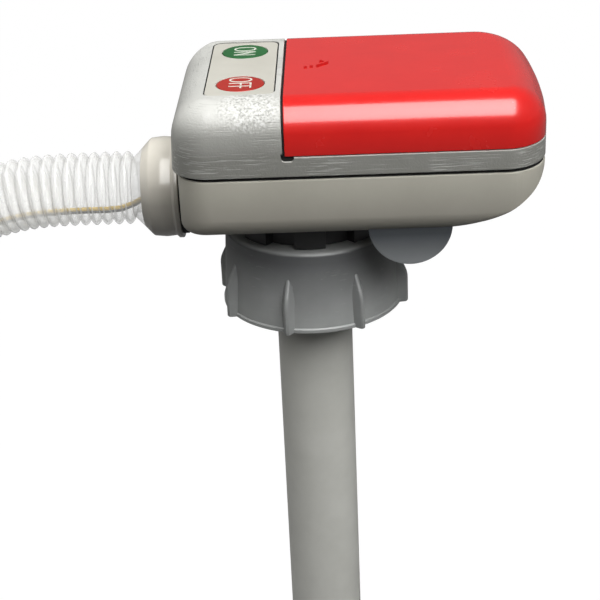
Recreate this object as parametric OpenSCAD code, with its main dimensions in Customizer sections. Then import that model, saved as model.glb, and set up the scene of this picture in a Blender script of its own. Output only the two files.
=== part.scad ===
// Battery siphon pump: head, captive screw cap, intake tube and hanging discharge hose.
// Millimetres, +Z up. The origin is on the neck axis, on the plane where the can's mouth seats.
// +X points away from the outlet and +Y to the back of the head.

/* [Head casings] */
// Length of the head along X
head_l = 118.3; // [112:0.1:128]
// Width of the head along Y
head_w = 77.8; // [74:0.1:86]
// Reach of the head from the neck axis towards the outlet
head_left = 42.3; // [40:0.1:46]
// Plan radius of the two corners at the outlet end
left_corner_r = 15.5; // [12:0.5:16]
// Plan radius of the two corners at the battery end
right_corner_r = 20.5; // [14:0.5:21]
// Radius along the top edge of the head
top_edge_r = 10; // [7:0.5:11]
// Radius along the bottom edge of the head
bottom_edge_r = 7; // [4:0.5:8]
// Radius of the long sweep under the battery end
sweep_r = 90; // [70:1:110]
// Slope of the sweep where it turns up into the end
sweep_turn = 24; // [18:0.5:26]
// Radius between the sweep and the end of the head
end_r = 9; // [7:0.5:11]
// Wall of the moulded casings
wall = 2; // [1.6:0.1:2.4]
// Height of the lower casing
lower_h = 21; // [20:0.5:24]
// Height of the grey rim under the battery cover
rim_h = 6.5; // [6:0.1:9]
// Height of the battery cover
cover_h = 16.7; // [16:0.1:20]
// How far the lower casing stands in under the upper one
lower_inset = 0.6; // [0.3:0.1:1]
// Height of the shadow groove along the seam
groove_h = 1.1; // [0.6:0.1:1.6]
// Depth of the shadow groove along the seam
groove_depth = 1; // [0.5:0.1:1.2]
// Chamfer along the lower casing's upper edge
seam_chamfer = 0.5; // [0.2:0.1:0.8]
// Running clearance round the sliding cover
cover_gap = 0.3; // [0.2:0.05:0.6]
// X position where the switch block ends and the cover begins
block_x = -7; // [-8:0.1:-6]
// Radius of the half-round tab under the front edge
tab_r = 13.3; // [10:0.1:15]
// X position of the tab
tab_x = 32; // [26:0.5:38]
// Thickness of the tab
tab_t = 2.2; // [1.6:0.1:3]

/* [Switch pad] */
// Width of the pad along X
pad_w = 21.6; // [19:0.1:22]
// Length of the pad along Y
pad_l = 55.4; // [50:0.1:56]
// X position of the pad's centre
pad_x = -19.9; // [-20.5:0.1:-19.5]
// Thickness of the pad
pad_t = 1.6; // [1.2:0.1:2]
// Gap round the pad
pad_gap = 0.4; // [0.2:0.1:0.7]
// Diameter of the keys
key_d = 15.3; // [13:0.1:17]
// Distance between the keys
key_pitch = 34; // [28:0.5:36]
// Travel of a key
key_travel = 0.5; // [0.3:0.1:0.6]
// Clearance round a key
key_gap = 0.3; // [0.2:0.05:0.4]

/* [Screw cap and neck] */
// Outer diameter of the cap at its lower edge
cap_d = 61; // [60:0.5:66]
// Outer diameter of the cap at its top
cap_top_d = 58; // [57:0.5:62]
// Inner diameter of the skirt, over the can's thread
cap_bore = 51; // [50:0.5:53]
// Depth of the skirt below the sealing plane
skirt_depth = 19; // [14:0.5:22]
// Thickness of the cap's top web
web_t = 3; // [2:0.1:4]
// Number of grip ribs
rib_count = 8; // [6:1:12]
// Radius of a grip rib's nose
rib_nose_r = 1; // [0.6:0.1:1.4]
// Angle by which a grip rib's sides spread
rib_spread = 22; // [15:1:28]
// How far a grip rib stands out
rib_out = 2.8; // [1.5:0.1:3.5]
// Height of a rib's sloping top
rib_ramp = 8.5; // [5:0.5:10]
// Turning clearance of the captive cap
turn_gap = 0.3; // [0.2:0.05:0.5]
// Outer diameter of the neck
neck_d = 32; // [31:0.5:33]
// Diameter of the castellated collar at its lugs
collar_d = 52; // [48:0.5:54]
// Diameter of the collar between its lugs
collar_root_d = 46; // [42:0.5:47]
// Height of the castellated collar
collar_h = 9.2; // [8:0.1:12]
// Number of lugs on the collar
lug_count = 8; // [6:1:10]
// Width of a lug
lug_w = 10.2; // [6:0.1:11]

/* [Intake] */
// Outer diameter of the intake tube
tube_d = 26; // [25:0.5:27]
// Wall of the intake tube
tube_wall = 1.6; // [1.2:0.1:2]
// Length of the intake tube below the sealing plane
tube_l = 366; // [300:1:420]
// Diameter of the tube's seat flange
flange_d = 46; // [40:0.5:48]
// Thickness of the tube's seat flange
flange_t = 3; // [2:0.1:4]
// Thickness of the sealing gasket
gasket_t = 2.5; // [1.5:0.1:3.5]
// Depth of the tube's socket in the neck
socket_depth = 8; // [6:0.5:8]
// Diameter of the drive shaft
shaft_d = 4; // [3:0.1:5]
// Running clearance of the shaft, on the radius
shaft_gap = 0.05; // [0.02:0.01:0.1]
// Tip clearance of the impeller
impeller_gap = 0.6; // [0.4:0.1:1]
// Height of the impeller
impeller_h = 14; // [10:0.5:18]
// Number of impeller vanes
vane_count = 4; // [3:1:6]
// Height of the strainer foot
foot_h = 38; // [34:1:46]
// Wall of the strainer foot
foot_wall = 2; // [1.5:0.1:2.5]
// Number of slots in the strainer foot
slot_count = 12; // [8:1:16]

/* [Motor] */
// Diameter of the motor
motor_d = 24.4; // [22:0.1:24.4]
// Length of the motor's can
motor_l = 18; // [16:0.5:18]
// Length of the motor's end cap
end_cap_l = 3.5; // [3:0.1:3.5]
// Diameter of the motor's shaft
motor_shaft_d = 3; // [2:0.1:3.2]
// Outer diameter of the shaft coupling
coupling_d = 9; // [8:0.1:12]

/* [Outlet] */
// Height of the outlet's axis over the bottom of the head
outlet_rise = 4.1; // [3.9:0.1:5]
// Outer diameter of the outlet branch
branch_d = 21; // [20.6:0.1:21.4]
// Bore of the outlet branch and of the cuffs
branch_bore = 17; // [16.6:0.1:17.2]
// Reach of the outlet branch from the neck axis
branch_l = 52; // [50:0.5:56]
// Outer diameter of the outlet collar
outlet_collar_d = 33; // [31:0.5:36]
// Length of the outlet collar's straight part
outlet_collar_l = 9.6; // [7:0.1:9.6]
// Length of the outlet collar's bevel
outlet_bevel_l = 3; // [2:0.1:4]
// Length of the clear cuff past the bevel
cuff_l = 3.5; // [3:0.1:5]

/* [Hose and nozzle] */
// Diameter of the hose over its ribs
hose_d = 24.5; // [23:0.1:26]
// Diameter of the hose between its ribs
hose_root_d = 19.8; // [19:0.1:20.6]
// Bore of the hose
hose_bore = 16.8; // [15:0.1:17]
// Pitch of the ribs
hose_pitch = 3.77; // [3.6:0.01:6]
// Diameter of a sensor wire
wire_d = 1.3; // [1.2:0.1:1.8]
// Length of the nozzle's cuff
nozzle_cuff_l = 12; // [8:0.5:16]
// Diameter of the nozzle's grip
grip_d = 27; // [25:0.5:32]
// Length of the nozzle's grip
grip_l = 42; // [30:1:60]
// Diameter of the nozzle's spout
spout_d = 22; // [21:0.5:24]
// Length of the nozzle's spout
spout_l = 100; // [80:1:140]
// Wall of the nozzle's spout
spout_wall = 1.5; // [1:0.1:2]
// Diameter of the sensor probe
probe_d = 5; // [4:0.1:6]
// Length of the sensor probe
probe_l = 62; // [40:1:75]

/* [Cells and electrics] */
// Diameter of a cell
cell_d = 14.2; // [13.5:0.1:14.5]
// Length of a cell with its nub
cell_l = 50; // [48:0.1:50.5]
// Length of the coil springs
spring_l = 4; // [3.6:0.1:5]
// Wire of the coil springs
spring_wire = 0.7; // [0.5:0.05:0.8]
// Turns of a coil spring
spring_turns = 3; // [2:1:3]
// Thickness of the contact plates
contact_t = 0.5; // [0.3:0.05:0.8]
// Thickness of the circuit board
board_t = 1.6; // [1:0.1:2]
// Diameter of the case screws
screw_d = 3; // [2.5:0.1:3.2]

/* [Hidden] */
$fn = 72;

// Small overlap for cuts that pass right through
eps = 0.5;
// Clearance of pieces that are pushed together by hand
push_gap = 0.05;

// Heights of the stack on the neck axis
flange_z = gasket_t;
web_z = flange_z + flange_t + turn_gap;
cap_top_z = web_z + web_t;
collar_z = cap_top_z + turn_gap;
head_z = collar_z + collar_h;
seam_z = head_z + lower_h;
rim_z = seam_z + rim_h;
top_z = rim_z + cover_gap + cover_h;
head_x0 = -head_left;
head_x1 = head_l - head_left;
outlet_z = head_z + outlet_rise;
branch_roof = 2;
manifold_top = outlet_z + branch_d / 2 + branch_roof;
roof_t = 3;
tube_bore = tube_d - 2 * tube_wall;
socket_top = flange_z + flange_t + socket_depth;

// Deck, hood and battery tray inside the upper casing
deck_t = 1.6;
deck_top = rim_z - 0.6;
deck_z = deck_top - deck_t;
hood_gap = 0.4;
hood_wall = 1.3;
hood_x = motor_d / 2 + hood_gap + hood_wall;
hood_half_w = motor_d / 2 + hood_gap + hood_wall;
terminal_l = 1.5;
motor_top = manifold_top + motor_l + end_cap_l + terminal_l;
hood_top = motor_top + 0.3 + hood_wall;
tray_wall = 1.5;
tray_h = 7;
bay_x0 = hood_x + tray_wall;
bay_x1 = bay_x0 + cell_l + spring_l + 2 * contact_t;
cell_gap = 0.3;
cell_pitch = cell_d + 2 * cell_gap;
cell_z = deck_top + cell_gap / 2 + cell_d / 2;
cell_ys = [for (i = [-1.5 : 1 : 1.5]) i * cell_pitch];
tray_half_w = 2 * cell_pitch;

// Guide rails of the sliding cover
lip_h = 1.4;
lip_in = 1.6;
rail_t = 1.4;
rail_x0 = bay_x0;
rail_x1 = head_x1 - right_corner_r;
cover_in_y = head_w / 2 - wall;

// Keys and board
key_t = pad_t - key_travel - 0.1;
pad_floor_t = 1.6;
pad_floor_z = top_z - pad_t - pad_floor_t;
stem_d = 6;
stem_flange_d = 9;
stem_flange_t = 1;
tact_gap = key_travel + 0.1;
stem_end_z = pad_floor_z - key_gap - stem_flange_t - 0.6;
tact_w = 6;
tact_h = 3.5;
plunger_d = 3.4;
plunger_h = 1;
board_top = stem_end_z - tact_gap - plunger_h - tact_h;
board_x1 = -motor_d / 2 - 1.3;
board_x0 = pad_x - tact_w / 2 - 9;
board_half_l = key_pitch / 2 + 4.4;
post_d = 4;
key_ys = [key_pitch / 2, -key_pitch / 2];

// Case screws
boss_d = 8.4;
screw_head_d = 5.4;
screw_head_h = 2;
screw_end_z = seam_z + 3.6;
screw_spots = [[pad_x - 6, 26], [pad_x - 6, -26], [50, 26], [50, -26]];
function screw_head_at(s) = bottom_at(s[0] + screw_head_d / 2) + 1;

// Drive line
seal_d = 10;
seal_t = 2.4;
coupling_l = 13;
coupling_top = manifold_top - roof_t - 0.6;
coupling_mid = coupling_top - coupling_l / 2;
shaft_end = -tube_l + 6;
impeller_z = shaft_end;
bush_h = 8;
bush_zs = [-30, -tube_l / 2, impeller_z + impeller_h + 3];
hub_d = 9;
impeller_hub_d = 8;
vane_t = 1.4;
vane_pitch = 42;

// Hose route in the XZ plane, from the cuff to the nozzle
cuff_end_x = -branch_l - outlet_bevel_l - cuff_l;
route = [[cuff_end_x, outlet_z], [-72, outlet_z], [-86, outlet_z], [-100, 21], [-114, 17], [-130, 10],
    [-146, -1], [-160, -14], [-172, -29], [-182, -46], [-189, -65], [-193, -85], [-195, -106],
    [-195, -130], [-195, -170], [-195, -210], [-195, -260], [-195, -320], [-195, -380], [-195, -440],
    [-195, -490], [-195, -530], [-195, -560], [-195, -590], [-195, -610]];
route_samples = 10;

// Uniform cubic B-spline through the first and last route points
function phantom(r) = concat([2 * r[0] - r[1]], r, [2 * r[len(r) - 1] - r[len(r) - 2]]);
function spline_at(p, i, t) =
    (pow(1 - t, 3) * p[i] + (3 * pow(t, 3) - 6 * t * t + 4) * p[i + 1]
    + (-3 * pow(t, 3) + 3 * t * t + 3 * t + 1) * p[i + 2] + pow(t, 3) * p[i + 3]) / 6;
route_ctrl = phantom(route);
route_fine = [for (i = [0 : len(route) - 2], k = [0 : route_samples - 1])
    spline_at(route_ctrl, i, k / route_samples), route[len(route) - 1]];
route_len = [for (i = 0, s = 0; i < len(route_fine);
    s = s + (i + 1 < len(route_fine) ? norm(route_fine[i + 1] - route_fine[i]) : 0), i = i + 1) s];
hose_l = route_len[len(route_len) - 1];
route_x = [for (i = [0 : len(route_fine) - 1]) [route_len[i], route_fine[i][0]]];
route_z = [for (i = [0 : len(route_fine) - 1]) [route_len[i], route_fine[i][1]]];
hose_end_x = route[len(route) - 1][0];
hose_end_z = route[len(route) - 1][1];

// Point, heading and offset point at a length along the hose; straight beyond both ends
function on_route(s) = s < 0 ? [cuff_end_x - s, 0, outlet_z]
    : s > hose_l ? [hose_end_x, 0, hose_end_z - (s - hose_l)]
    : [lookup(s, route_x), 0, lookup(s, route_z)];
function unit(v) = v / norm(v);
function heading(s) = s <= 0 ? [-1, 0, 0]
    : s >= hose_l ? [0, 0, -1]
    : unit(on_route(s + 2) - on_route(s - 2));
function beside_route(s, up, side) = on_route(s) + up * cross([0, 1, 0], heading(s)) + side * [0, 1, 0];

// Hose ribs and sensor wires
rib_total = round(hose_l / hose_pitch);
rib_step = hose_l / rib_total;
bore_rings = 74;
hose_sides = 8;
wire_sides = 8;
wire_up = 5.6;
wire_side = 0.95;
wire_bend_rings = 32;
wire_run_rings = 7;
gland_x = -branch_l + 18;
gland_stem_d = 3;
gland_d = 5;
gland_l = 4;
wire_start = cuff_end_x - gland_x + gland_l / 2;
wire_bend_l = 270;
wire_ease_l = 30;
nozzle_top_z = hose_end_z - nozzle_cuff_l;
grip_taper = 8;
spout_end_z = nozzle_top_z - grip_l - grip_taper - spout_l;
probe_tip = 3;
probe_z1 = spout_end_z + probe_tip + probe_l;
spout_bore = spout_d - 2 * spout_wall;
probe_x = hose_end_x + spout_bore / 2 - probe_d / 2 - 0.3;
wire_total = hose_l + (hose_end_z - probe_z1);

// Rings round a path, closed tubes and hollow tubes as triangles
function ring_at(c, t, ref, r, n) = let (u = unit(cross(t, ref)), v = cross(t, u))
    [for (j = [0 : n - 1]) c + r * (cos(360 * j / n) * u + sin(360 * j / n) * v)];
function side_faces(rings, n, base) = [for (i = [0 : rings - 2], j = [0 : n - 1])
    let (a = base + i * n + j, b = base + i * n + (j + 1) % n)
    each [[a, b, b + n], [a, b + n, a + n]]];
function flip(faces) = [for (f = faces) [f[2], f[1], f[0]]];
function cap_fan(n, base) = [for (j = [1 : n - 2]) [base, base + j + 1, base + j]];
function flat(lists) = [for (l = lists, p = l) p];

module closed_tube(rings, n) {
    count = len(rings);
    ends = concat(flip(cap_fan(n, 0)), cap_fan(n, (count - 1) * n));
    polyhedron(flat(rings), concat(flip(side_faces(count, n, 0)), ends));
}

module hollow_tube(outer, inner, n) {
    io = len(outer) * n;
    last_o = io - n;
    last_i = io + len(inner) * n - n;
    start = [for (j = [0 : n - 1]) let (k = (j + 1) % n) each [[j, k, io + k], [j, io + k, io + j]]];
    end = [for (j = [0 : n - 1]) let (k = (j + 1) % n)
        each [[last_o + k, last_o + j, last_i + j], [last_o + k, last_i + j, last_i + k]]];
    polyhedron(concat(flat(outer), flat(inner)),
        concat(flip(side_faces(len(outer), n, 0)), side_faces(len(inner), n, io), start, end));
}

// Shared shapes
module ring(od, id, z0, z1) {
    translate([0, 0, z0]) difference() {
        cylinder(d = od, h = z1 - z0);
        translate([0, 0, -eps]) cylinder(d = id, h = z1 - z0 + 2 * eps);
    }
}

module rod(d, z0, z1) {
    translate([0, 0, z0]) cylinder(d = d, h = z1 - z0);
}

module box(p0, p1) {
    translate(p0) cube(p1 - p0);
}

module outlet_way(x = 0) {
    translate([x, 0, outlet_z]) rotate([0, -90, 0]) children();
}

module rounded_plate(w, l, r) {
    square([w - 2 * r, l], center = true);
    square([w, l - 2 * r], center = true);
    for (x = [r - w / 2, w / 2 - r], y = [r - l / 2, l / 2 - r]) translate([x, y]) circle(r = r);
}

// Moulded block: the child is a section drawn as [inset, height], carried round the head's plan
module moulded_block(x0) {
    w = head_w / 2;
    rl = left_corner_r - (x0 - head_x0);
    rr = right_corner_r;
    xl = x0 + rl;
    xr = head_x1 - rr;
    translate([xl, 0, 0]) rotate([90, 0, 90]) linear_extrude(xr - xl)
        for (m = [0, 1]) mirror([m, 0]) translate([-w, 0]) {
            $reach = w + 1;
            children();
        }
    translate([0, w - rl, 0]) rotate([90, 0, 0]) linear_extrude(2 * (w - rl)) translate([x0, 0]) {
        $reach = rl + eps;
        children();
    }
    translate([0, w - rr, 0]) rotate([90, 0, 0]) linear_extrude(2 * (w - rr))
        translate([head_x1, 0]) mirror([1, 0]) {
            $reach = rr + eps;
            children();
        }
    for (c = [[xr, w - rr, 0, rr], [xl, w - rl, 90, rl], [xl, rl - w, 180, rl], [xr, rr - w, 270, rr]])
        translate([c[0], c[1], 0]) rotate([0, 0, c[2]]) rotate_extrude(angle = 90)
            translate([c[3], 0]) mirror([1, 0]) {
                $reach = c[3];
                children();
            }
}

// What a round of radius r takes off a section's corner; the section lies towards +X
module round_off(r) {
    difference() {
        translate([-eps, 0]) square([r + eps, r + eps]);
        translate([r, 0]) circle(r = r);
    }
}

// Upper half of the head, inset by d all round and rounded along its top edge
module upper_section(d, low) {
    foot = d > 0 ? 0 : 0.6;
    difference() {
        translate([d, low]) square([$reach - d, top_z - d - low]);
        translate([d, top_z - top_edge_r]) round_off(top_edge_r - d);
        if (foot > 0)
            polygon([[-eps, low - eps], [foot + eps, low - eps], [-eps, low + foot + eps]]);
    }
}

module upper_solid(d, low) {
    moulded_block(head_x0) upper_section(d, low);
}

// Lower half of the head, rounded along its bottom edge; the groove and its chamfer run along the seam
module lower_section(d, high, grooved) {
    x = lower_inset + d;
    lip_z = seam_z - groove_h;
    difference() {
        translate([x, head_z + d]) square([$reach - x, high - head_z - d]);
        translate([x, head_z + bottom_edge_r]) mirror([0, 1]) round_off(bottom_edge_r - d);
        if (grooved)
            polygon([[x - eps, seam_z + eps], [x + groove_depth, seam_z + eps], [x + groove_depth, lip_z],
                [x + seam_chamfer, lip_z], [x - eps, lip_z - seam_chamfer - eps]]);
    }
}

// The sweep under the battery end: a long arc that turns into the end through a tighter one
sweep_x1 = head_x1 - lower_inset;
sweep_x = sweep_x1 - end_r - (sweep_r - end_r) * sin(sweep_turn);
end_z = head_z + sweep_r - (sweep_r - end_r) * cos(sweep_turn);
function bottom_at(x) = x < sweep_x ? head_z : head_z + sweep_r - sqrt(pow(sweep_r, 2) - pow(x - sweep_x, 2));

module sweep_cut(d) {
    turn_x = sweep_x + (sweep_r - d) * sin(sweep_turn);
    translate([0, head_w, 0]) rotate([90, 0, 0]) linear_extrude(2 * head_w) difference() {
        translate([sweep_x, head_z - eps]) square([head_x1 + 1 - sweep_x, end_z - head_z + eps]);
        intersection() {
            translate([sweep_x, head_z + sweep_r]) circle(r = sweep_r - d, $fn = 360);
            translate([sweep_x - eps, head_z]) square([turn_x - sweep_x + eps, sweep_r]);
        }
        translate([sweep_x1 - end_r, end_z]) circle(r = end_r - d);
    }
}

module lower_solid(d, high, grooved = false) {
    difference() {
        moulded_block(head_x0 + lower_inset) lower_section(d, high, grooved);
        sweep_cut(d);
    }
}

module lower_casing() {
    tab_front = -head_w / 2 + 3.3;
    tab_root = 0.8;
    color([0.58, 0.56, 0.52]) difference() {
        union() {
            difference() {
                lower_solid(0, seam_z, true);
                lower_solid(wall, seam_z + eps);
            }
            intersection() {
                lower_solid(wall / 2, seam_z);
                for (s = screw_spots) translate([s[0], s[1], 0]) rod(boss_d, head_z, seam_z);
            }
            translate([tab_x, tab_front, head_z + 2.1]) rotate([-90, 0, 0]) difference() {
                cylinder(r = tab_r, h = tab_t);
                translate([-tab_r - eps, -tab_r - eps, -eps])
                    cube([2 * tab_r + 2 * eps, tab_r + eps - tab_root, tab_t + 2 * eps]);
            }
        }
        rod(neck_d + 2 * turn_gap, head_z - eps, head_z + wall + eps);
        outlet_way() cylinder(d = branch_d + 2 * turn_gap, h = head_left + 1);
        box([head_x0 - 1, -branch_d / 2 - turn_gap, head_z - eps], [0, branch_d / 2 + turn_gap, outlet_z]);
        for (s = screw_spots) translate([s[0], s[1], 0]) {
            rod(screw_d + 2 * push_gap, head_z - eps, seam_z + eps);
            rod(screw_head_d + 0.4, head_z - eps, screw_head_at(s) + screw_head_h);
        }
    }
}

module cover_rail(side) {
    y0 = cover_in_y - lip_in - cover_gap - rail_t;
    y1 = cover_in_y - cover_gap;
    lip_top = rim_z + cover_gap + lip_h + cover_gap;
    mirror([0, side, 0]) {
        box([rail_x0, y0, deck_top - eps], [rail_x1, y0 + rail_t, lip_top + rail_t]);
        box([rail_x0, y0, lip_top], [rail_x1, y1, lip_top + rail_t]);
    }
}

module upper_casing() {
    color([0.75, 0.75, 0.73]) difference() {
        union() {
            difference() {
                upper_solid(0, seam_z);
                upper_solid(wall, seam_z - eps);
                box([block_x, -head_w, rim_z], [head_x1 + eps, head_w, top_z + eps]);
            }
            intersection() {
                upper_solid(wall - 0.2, seam_z);
                union() {
                    box([block_x - wall, -head_w, deck_z], [block_x, head_w, top_z]);
                    box([block_x - wall, -head_w, deck_z], [head_x1, head_w, deck_top]);
                }
            }
            box([block_x - wall, -hood_half_w, deck_z], [hood_x, hood_half_w, hood_top]);
            intersection() {
                upper_solid(wall + 2 * cover_gap, seam_z);
                difference() {
                    box([hood_x - eps, -tray_half_w - tray_wall, deck_top - eps],
                        [bay_x1 + tray_wall, tray_half_w + tray_wall, deck_top + tray_h]);
                    box([bay_x0, -tray_half_w, deck_top - 2 * eps],
                        [bay_x1, tray_half_w, deck_top + tray_h + eps]);
                }
            }
            for (side = [0, 1]) cover_rail(side);
            translate([pad_x, 0, pad_floor_z])
                linear_extrude(top_z - pad_floor_z - 1) square([pad_w + 2, pad_l + 3], center = true);
            for (s = screw_spots) translate([s[0], s[1], 0])
                rod(boss_d, seam_z, (s[0] < 0 ? pad_floor_z : deck_z) + eps);
            for (x = [board_x0 + 3, board_x1 - 3], side = [-1, 1])
                translate([x, side * (board_half_l - 10), 0]) rod(post_d, board_top, pad_floor_z + eps);
        }
        box([block_x - wall - eps, -hood_half_w + hood_wall, seam_z - eps],
            [hood_x - hood_wall, hood_half_w - hood_wall, hood_top - hood_wall]);
        translate([pad_x, 0, top_z - pad_t]) linear_extrude(pad_t + eps)
            rounded_plate(pad_w + 2 * pad_gap, pad_l + 2 * pad_gap, 2.8 + pad_gap);
        for (y = key_ys) translate([pad_x, y, 0]) rod(stem_d + 2 * key_gap, pad_floor_z - eps, top_z);
        for (s = screw_spots) translate([s[0], s[1], 0])
            rod(screw_d + 2 * push_gap, seam_z - eps, screw_end_z + 0.2);
    }
}

module battery_cover() {
    x0 = block_x + cover_gap;
    notch_l = 3;
    notch_h = 2.2;
    lip_z = rim_z + cover_gap;
    color([0.82, 0.14, 0.13]) difference() {
        union() {
            difference() {
                upper_solid(0, seam_z);
                upper_solid(wall, seam_z - eps);
                box([head_x0 - eps, -head_w, seam_z - 2 * eps], [x0, head_w, top_z + eps]);
                box([head_x0 - eps, -head_w, seam_z - 2 * eps], [head_x1 + eps, head_w, lip_z]);
            }
            for (y = [-cover_in_y - 0.2, cover_in_y - lip_in])
                box([rail_x0, y, lip_z], [rail_x1, y + lip_in + 0.2, lip_z + lip_h]);
        }
        box([x0 - eps, -head_w, lip_z - eps], [x0 + notch_l, -head_w / 2 + wall + eps, lip_z + notch_h]);
    }
}

module switch_pad() {
    color([0.81, 0.8, 0.76]) difference() {
        translate([pad_x, 0, top_z - pad_t]) linear_extrude(pad_t) rounded_plate(pad_w, pad_l, 2.8);
        for (y = key_ys) translate([pad_x, y, 0]) rod(key_d + 2 * key_gap, top_z - pad_t - eps, top_z + eps);
    }
}

module key(y) {
    translate([pad_x, y, 0]) {
        rod(key_d, top_z - key_t, top_z);
        rod(stem_d, stem_end_z, top_z - key_t / 2);
        rod(stem_flange_d, pad_floor_z - key_gap - stem_flange_t, pad_floor_z - key_gap);
    }
}

module on_button() {
    color([0.24, 0.52, 0.32]) key(key_ys[0]);
}

module off_button() {
    color([0.78, 0.29, 0.27]) key(key_ys[1]);
}

module circuit_board() {
    color([0.1, 0.35, 0.2])
        box([board_x0, -board_half_l, board_top - board_t], [board_x1, board_half_l, board_top]);
}

module tact_switches() {
    color([0.15, 0.15, 0.15]) for (y = key_ys) {
        box([pad_x - tact_w / 2, y - tact_w / 2, board_top],
            [pad_x + tact_w / 2, y + tact_w / 2, board_top + tact_h]);
        translate([pad_x, y, 0]) rod(plunger_d, board_top + tact_h - eps, board_top + tact_h + plunger_h);
    }
}

// Cells lie along X, turned end for end in pairs; the nub touches a plate and a spring holds the flat end
module at_cells() {
    for (i = [0 : len(cell_ys) - 1])
        translate([(bay_x0 + bay_x1) / 2, cell_ys[i], cell_z]) rotate([0, 0, i % 2 == 0 ? 0 : 180])
            translate([-(bay_x1 - bay_x0) / 2, 0, 0]) rotate([0, 90, 0]) children();
}

module aa_cells() {
    nub_h = 1.2;
    nub_d = 5.2;
    z0 = contact_t + spring_l;
    color([0.2, 0.2, 0.22]) at_cells() {
        rod(cell_d, z0, z0 + cell_l - nub_h);
        rod(nub_d, z0 + cell_l - nub_h - eps, z0 + cell_l);
    }
}

spring_rings = 8;
spring_sides = 6;
spring_r0 = 4.6;
spring_r1 = 2.6;
spring_clear = 0.05;
spring_rise = spring_l - spring_wire - 2 * spring_clear;
function spring_point(k) = let (f = k / (spring_turns * spring_rings), a = 360 * k / spring_rings,
    r = spring_r0 + (spring_r1 - spring_r0) * f)
    [r * cos(a), r * sin(a), contact_t + spring_clear + spring_wire / 2 + spring_rise * f];
spring_path = [for (k = [0 : spring_turns * spring_rings]) spring_point(k)];
spring_least = min([for (i = [0 : len(spring_path) - 1], j = [0 : len(spring_path) - 1])
    if (j > i + spring_rings / 2) norm(spring_path[i] - spring_path[j])]) - spring_wire;
echo(least_gap_of_a_spring_to_itself = spring_least);

module contact_springs() {
    last = len(spring_path) - 1;
    rings = [for (i = [0 : last])
        let (ahead = unit(spring_path[min(i + 1, last)] - spring_path[max(i - 1, 0)]))
        ring_at(spring_path[i], ahead, [0, 0, 1], spring_wire / 2, spring_sides)];
    color([0.75, 0.76, 0.78]) at_cells() closed_tube(rings, spring_sides);
}

module contact_plates() {
    h = tray_h - 0.5;
    half = cell_pitch / 2 - 1.8;
    z0 = deck_top + 0.3;
    color([0.75, 0.76, 0.78]) intersection() {
        upper_solid(wall + 2 * cover_gap, seam_z);
        union() {
            for (y = [[cell_ys[0], cell_ys[0]], [cell_ys[1], cell_ys[2]], [cell_ys[3], cell_ys[3]]])
                box([bay_x0, y[0] - half, z0], [bay_x0 + contact_t, y[1] + half, cell_z + h / 2]);
            for (y = [[cell_ys[0], cell_ys[1]], [cell_ys[2], cell_ys[3]]])
                box([bay_x1 - contact_t, y[0] - half, z0], [bay_x1, y[1] + half, cell_z + h / 2]);
        }
    }
}

module case_screws() {
    color([0.6, 0.61, 0.63]) for (s = screw_spots) translate([s[0], s[1], 0]) {
        rod(screw_d, screw_head_at(s) + eps, screw_end_z);
        rod(screw_head_d, screw_head_at(s), screw_head_at(s) + screw_head_h);
    }
}

module outlet_manifold() {
    cup_wall = 1.6;
    cup_h = 5;
    foot_d = neck_d + 10;
    color([0.7, 0.7, 0.68]) difference() {
        union() {
            rod(neck_d, flange_z + flange_t, manifold_top);
            rod(foot_d, head_z + wall, head_z + wall + 2);
            outlet_way() cylinder(d = branch_d, h = branch_l);
            rod(motor_d + 2 * push_gap + 2 * cup_wall, manifold_top - eps, manifold_top + cup_h);
        }
        rod(tube_d + 2 * push_gap, flange_z + flange_t - eps, socket_top);
        rod(tube_bore, socket_top - eps, manifold_top - roof_t);
        outlet_way() cylinder(d = branch_bore, h = branch_l + eps);
        rod(seal_d + 2 * push_gap, manifold_top - roof_t - eps, manifold_top + eps);
        rod(motor_d + 2 * push_gap, manifold_top, manifold_top + cup_h + eps);
        translate([gland_x, 0, 0]) rod(gland_stem_d + 2 * push_gap, outlet_z, outlet_z + branch_d);
    }
}

module lead_gland() {
    color([0.12, 0.12, 0.12]) {
        translate([gland_x + gland_l / 2, 0, outlet_z + wire_up]) rotate([0, -90, 0])
            cylinder(d = gland_d, h = gland_l);
        translate([gland_x, 0, 0]) rod(gland_stem_d, outlet_z + wire_up, outlet_z + branch_d / 2 + 2);
    }
}

module neck_collar() {
    color([0.07, 0.07, 0.08]) difference() {
        translate([0, 0, collar_z]) linear_extrude(collar_h) difference() {
            union() {
                circle(d = collar_root_d);
                intersection() {
                    circle(d = collar_d);
                    for (k = [0 : lug_count - 1]) rotate(360 * k / lug_count)
                        translate([0, -lug_w / 2]) square([collar_d, lug_w]);
                }
            }
            circle(d = neck_d + 2 * push_gap);
        }
        outlet_way() cylinder(d = branch_d + 2 * turn_gap, h = collar_d);
    }
}

// Plan of a grip rib: a round nose between spreading sides, drawn from the cap's axis along +X
module rib_plan(root_r) {
    nose_x = cap_d / 2 + rib_out - rib_nose_r;
    side_x = nose_x + rib_nose_r * sin(rib_spread);
    side_y = rib_nose_r * cos(rib_spread);
    root_y = side_y + (side_x - root_r) * tan(rib_spread);
    translate([nose_x, 0]) circle(r = rib_nose_r);
    polygon([[root_r, -root_y], [side_x, -side_y], [side_x, side_y], [root_r, root_y]]);
}

// A grip rib stands upright and its top leans back into the skirt, which brings it to a point
module grip_rib(low, high) {
    root_r = cap_bore / 2 + 1.2;
    turn_r = cap_d / 2 + rib_out;
    lean = atan((rib_out + (cap_d - cap_top_d) / 2) / rib_ramp);
    intersection() {
        translate([0, 0, low]) linear_extrude(high - low) rib_plan(root_r);
        translate([turn_r, 0, high - rib_ramp]) rotate([0, -lean, 0])
            translate([-turn_r, 0, -2 * skirt_depth]) linear_extrude(3 * skirt_depth) rib_plan(root_r - 12);
    }
}

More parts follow.
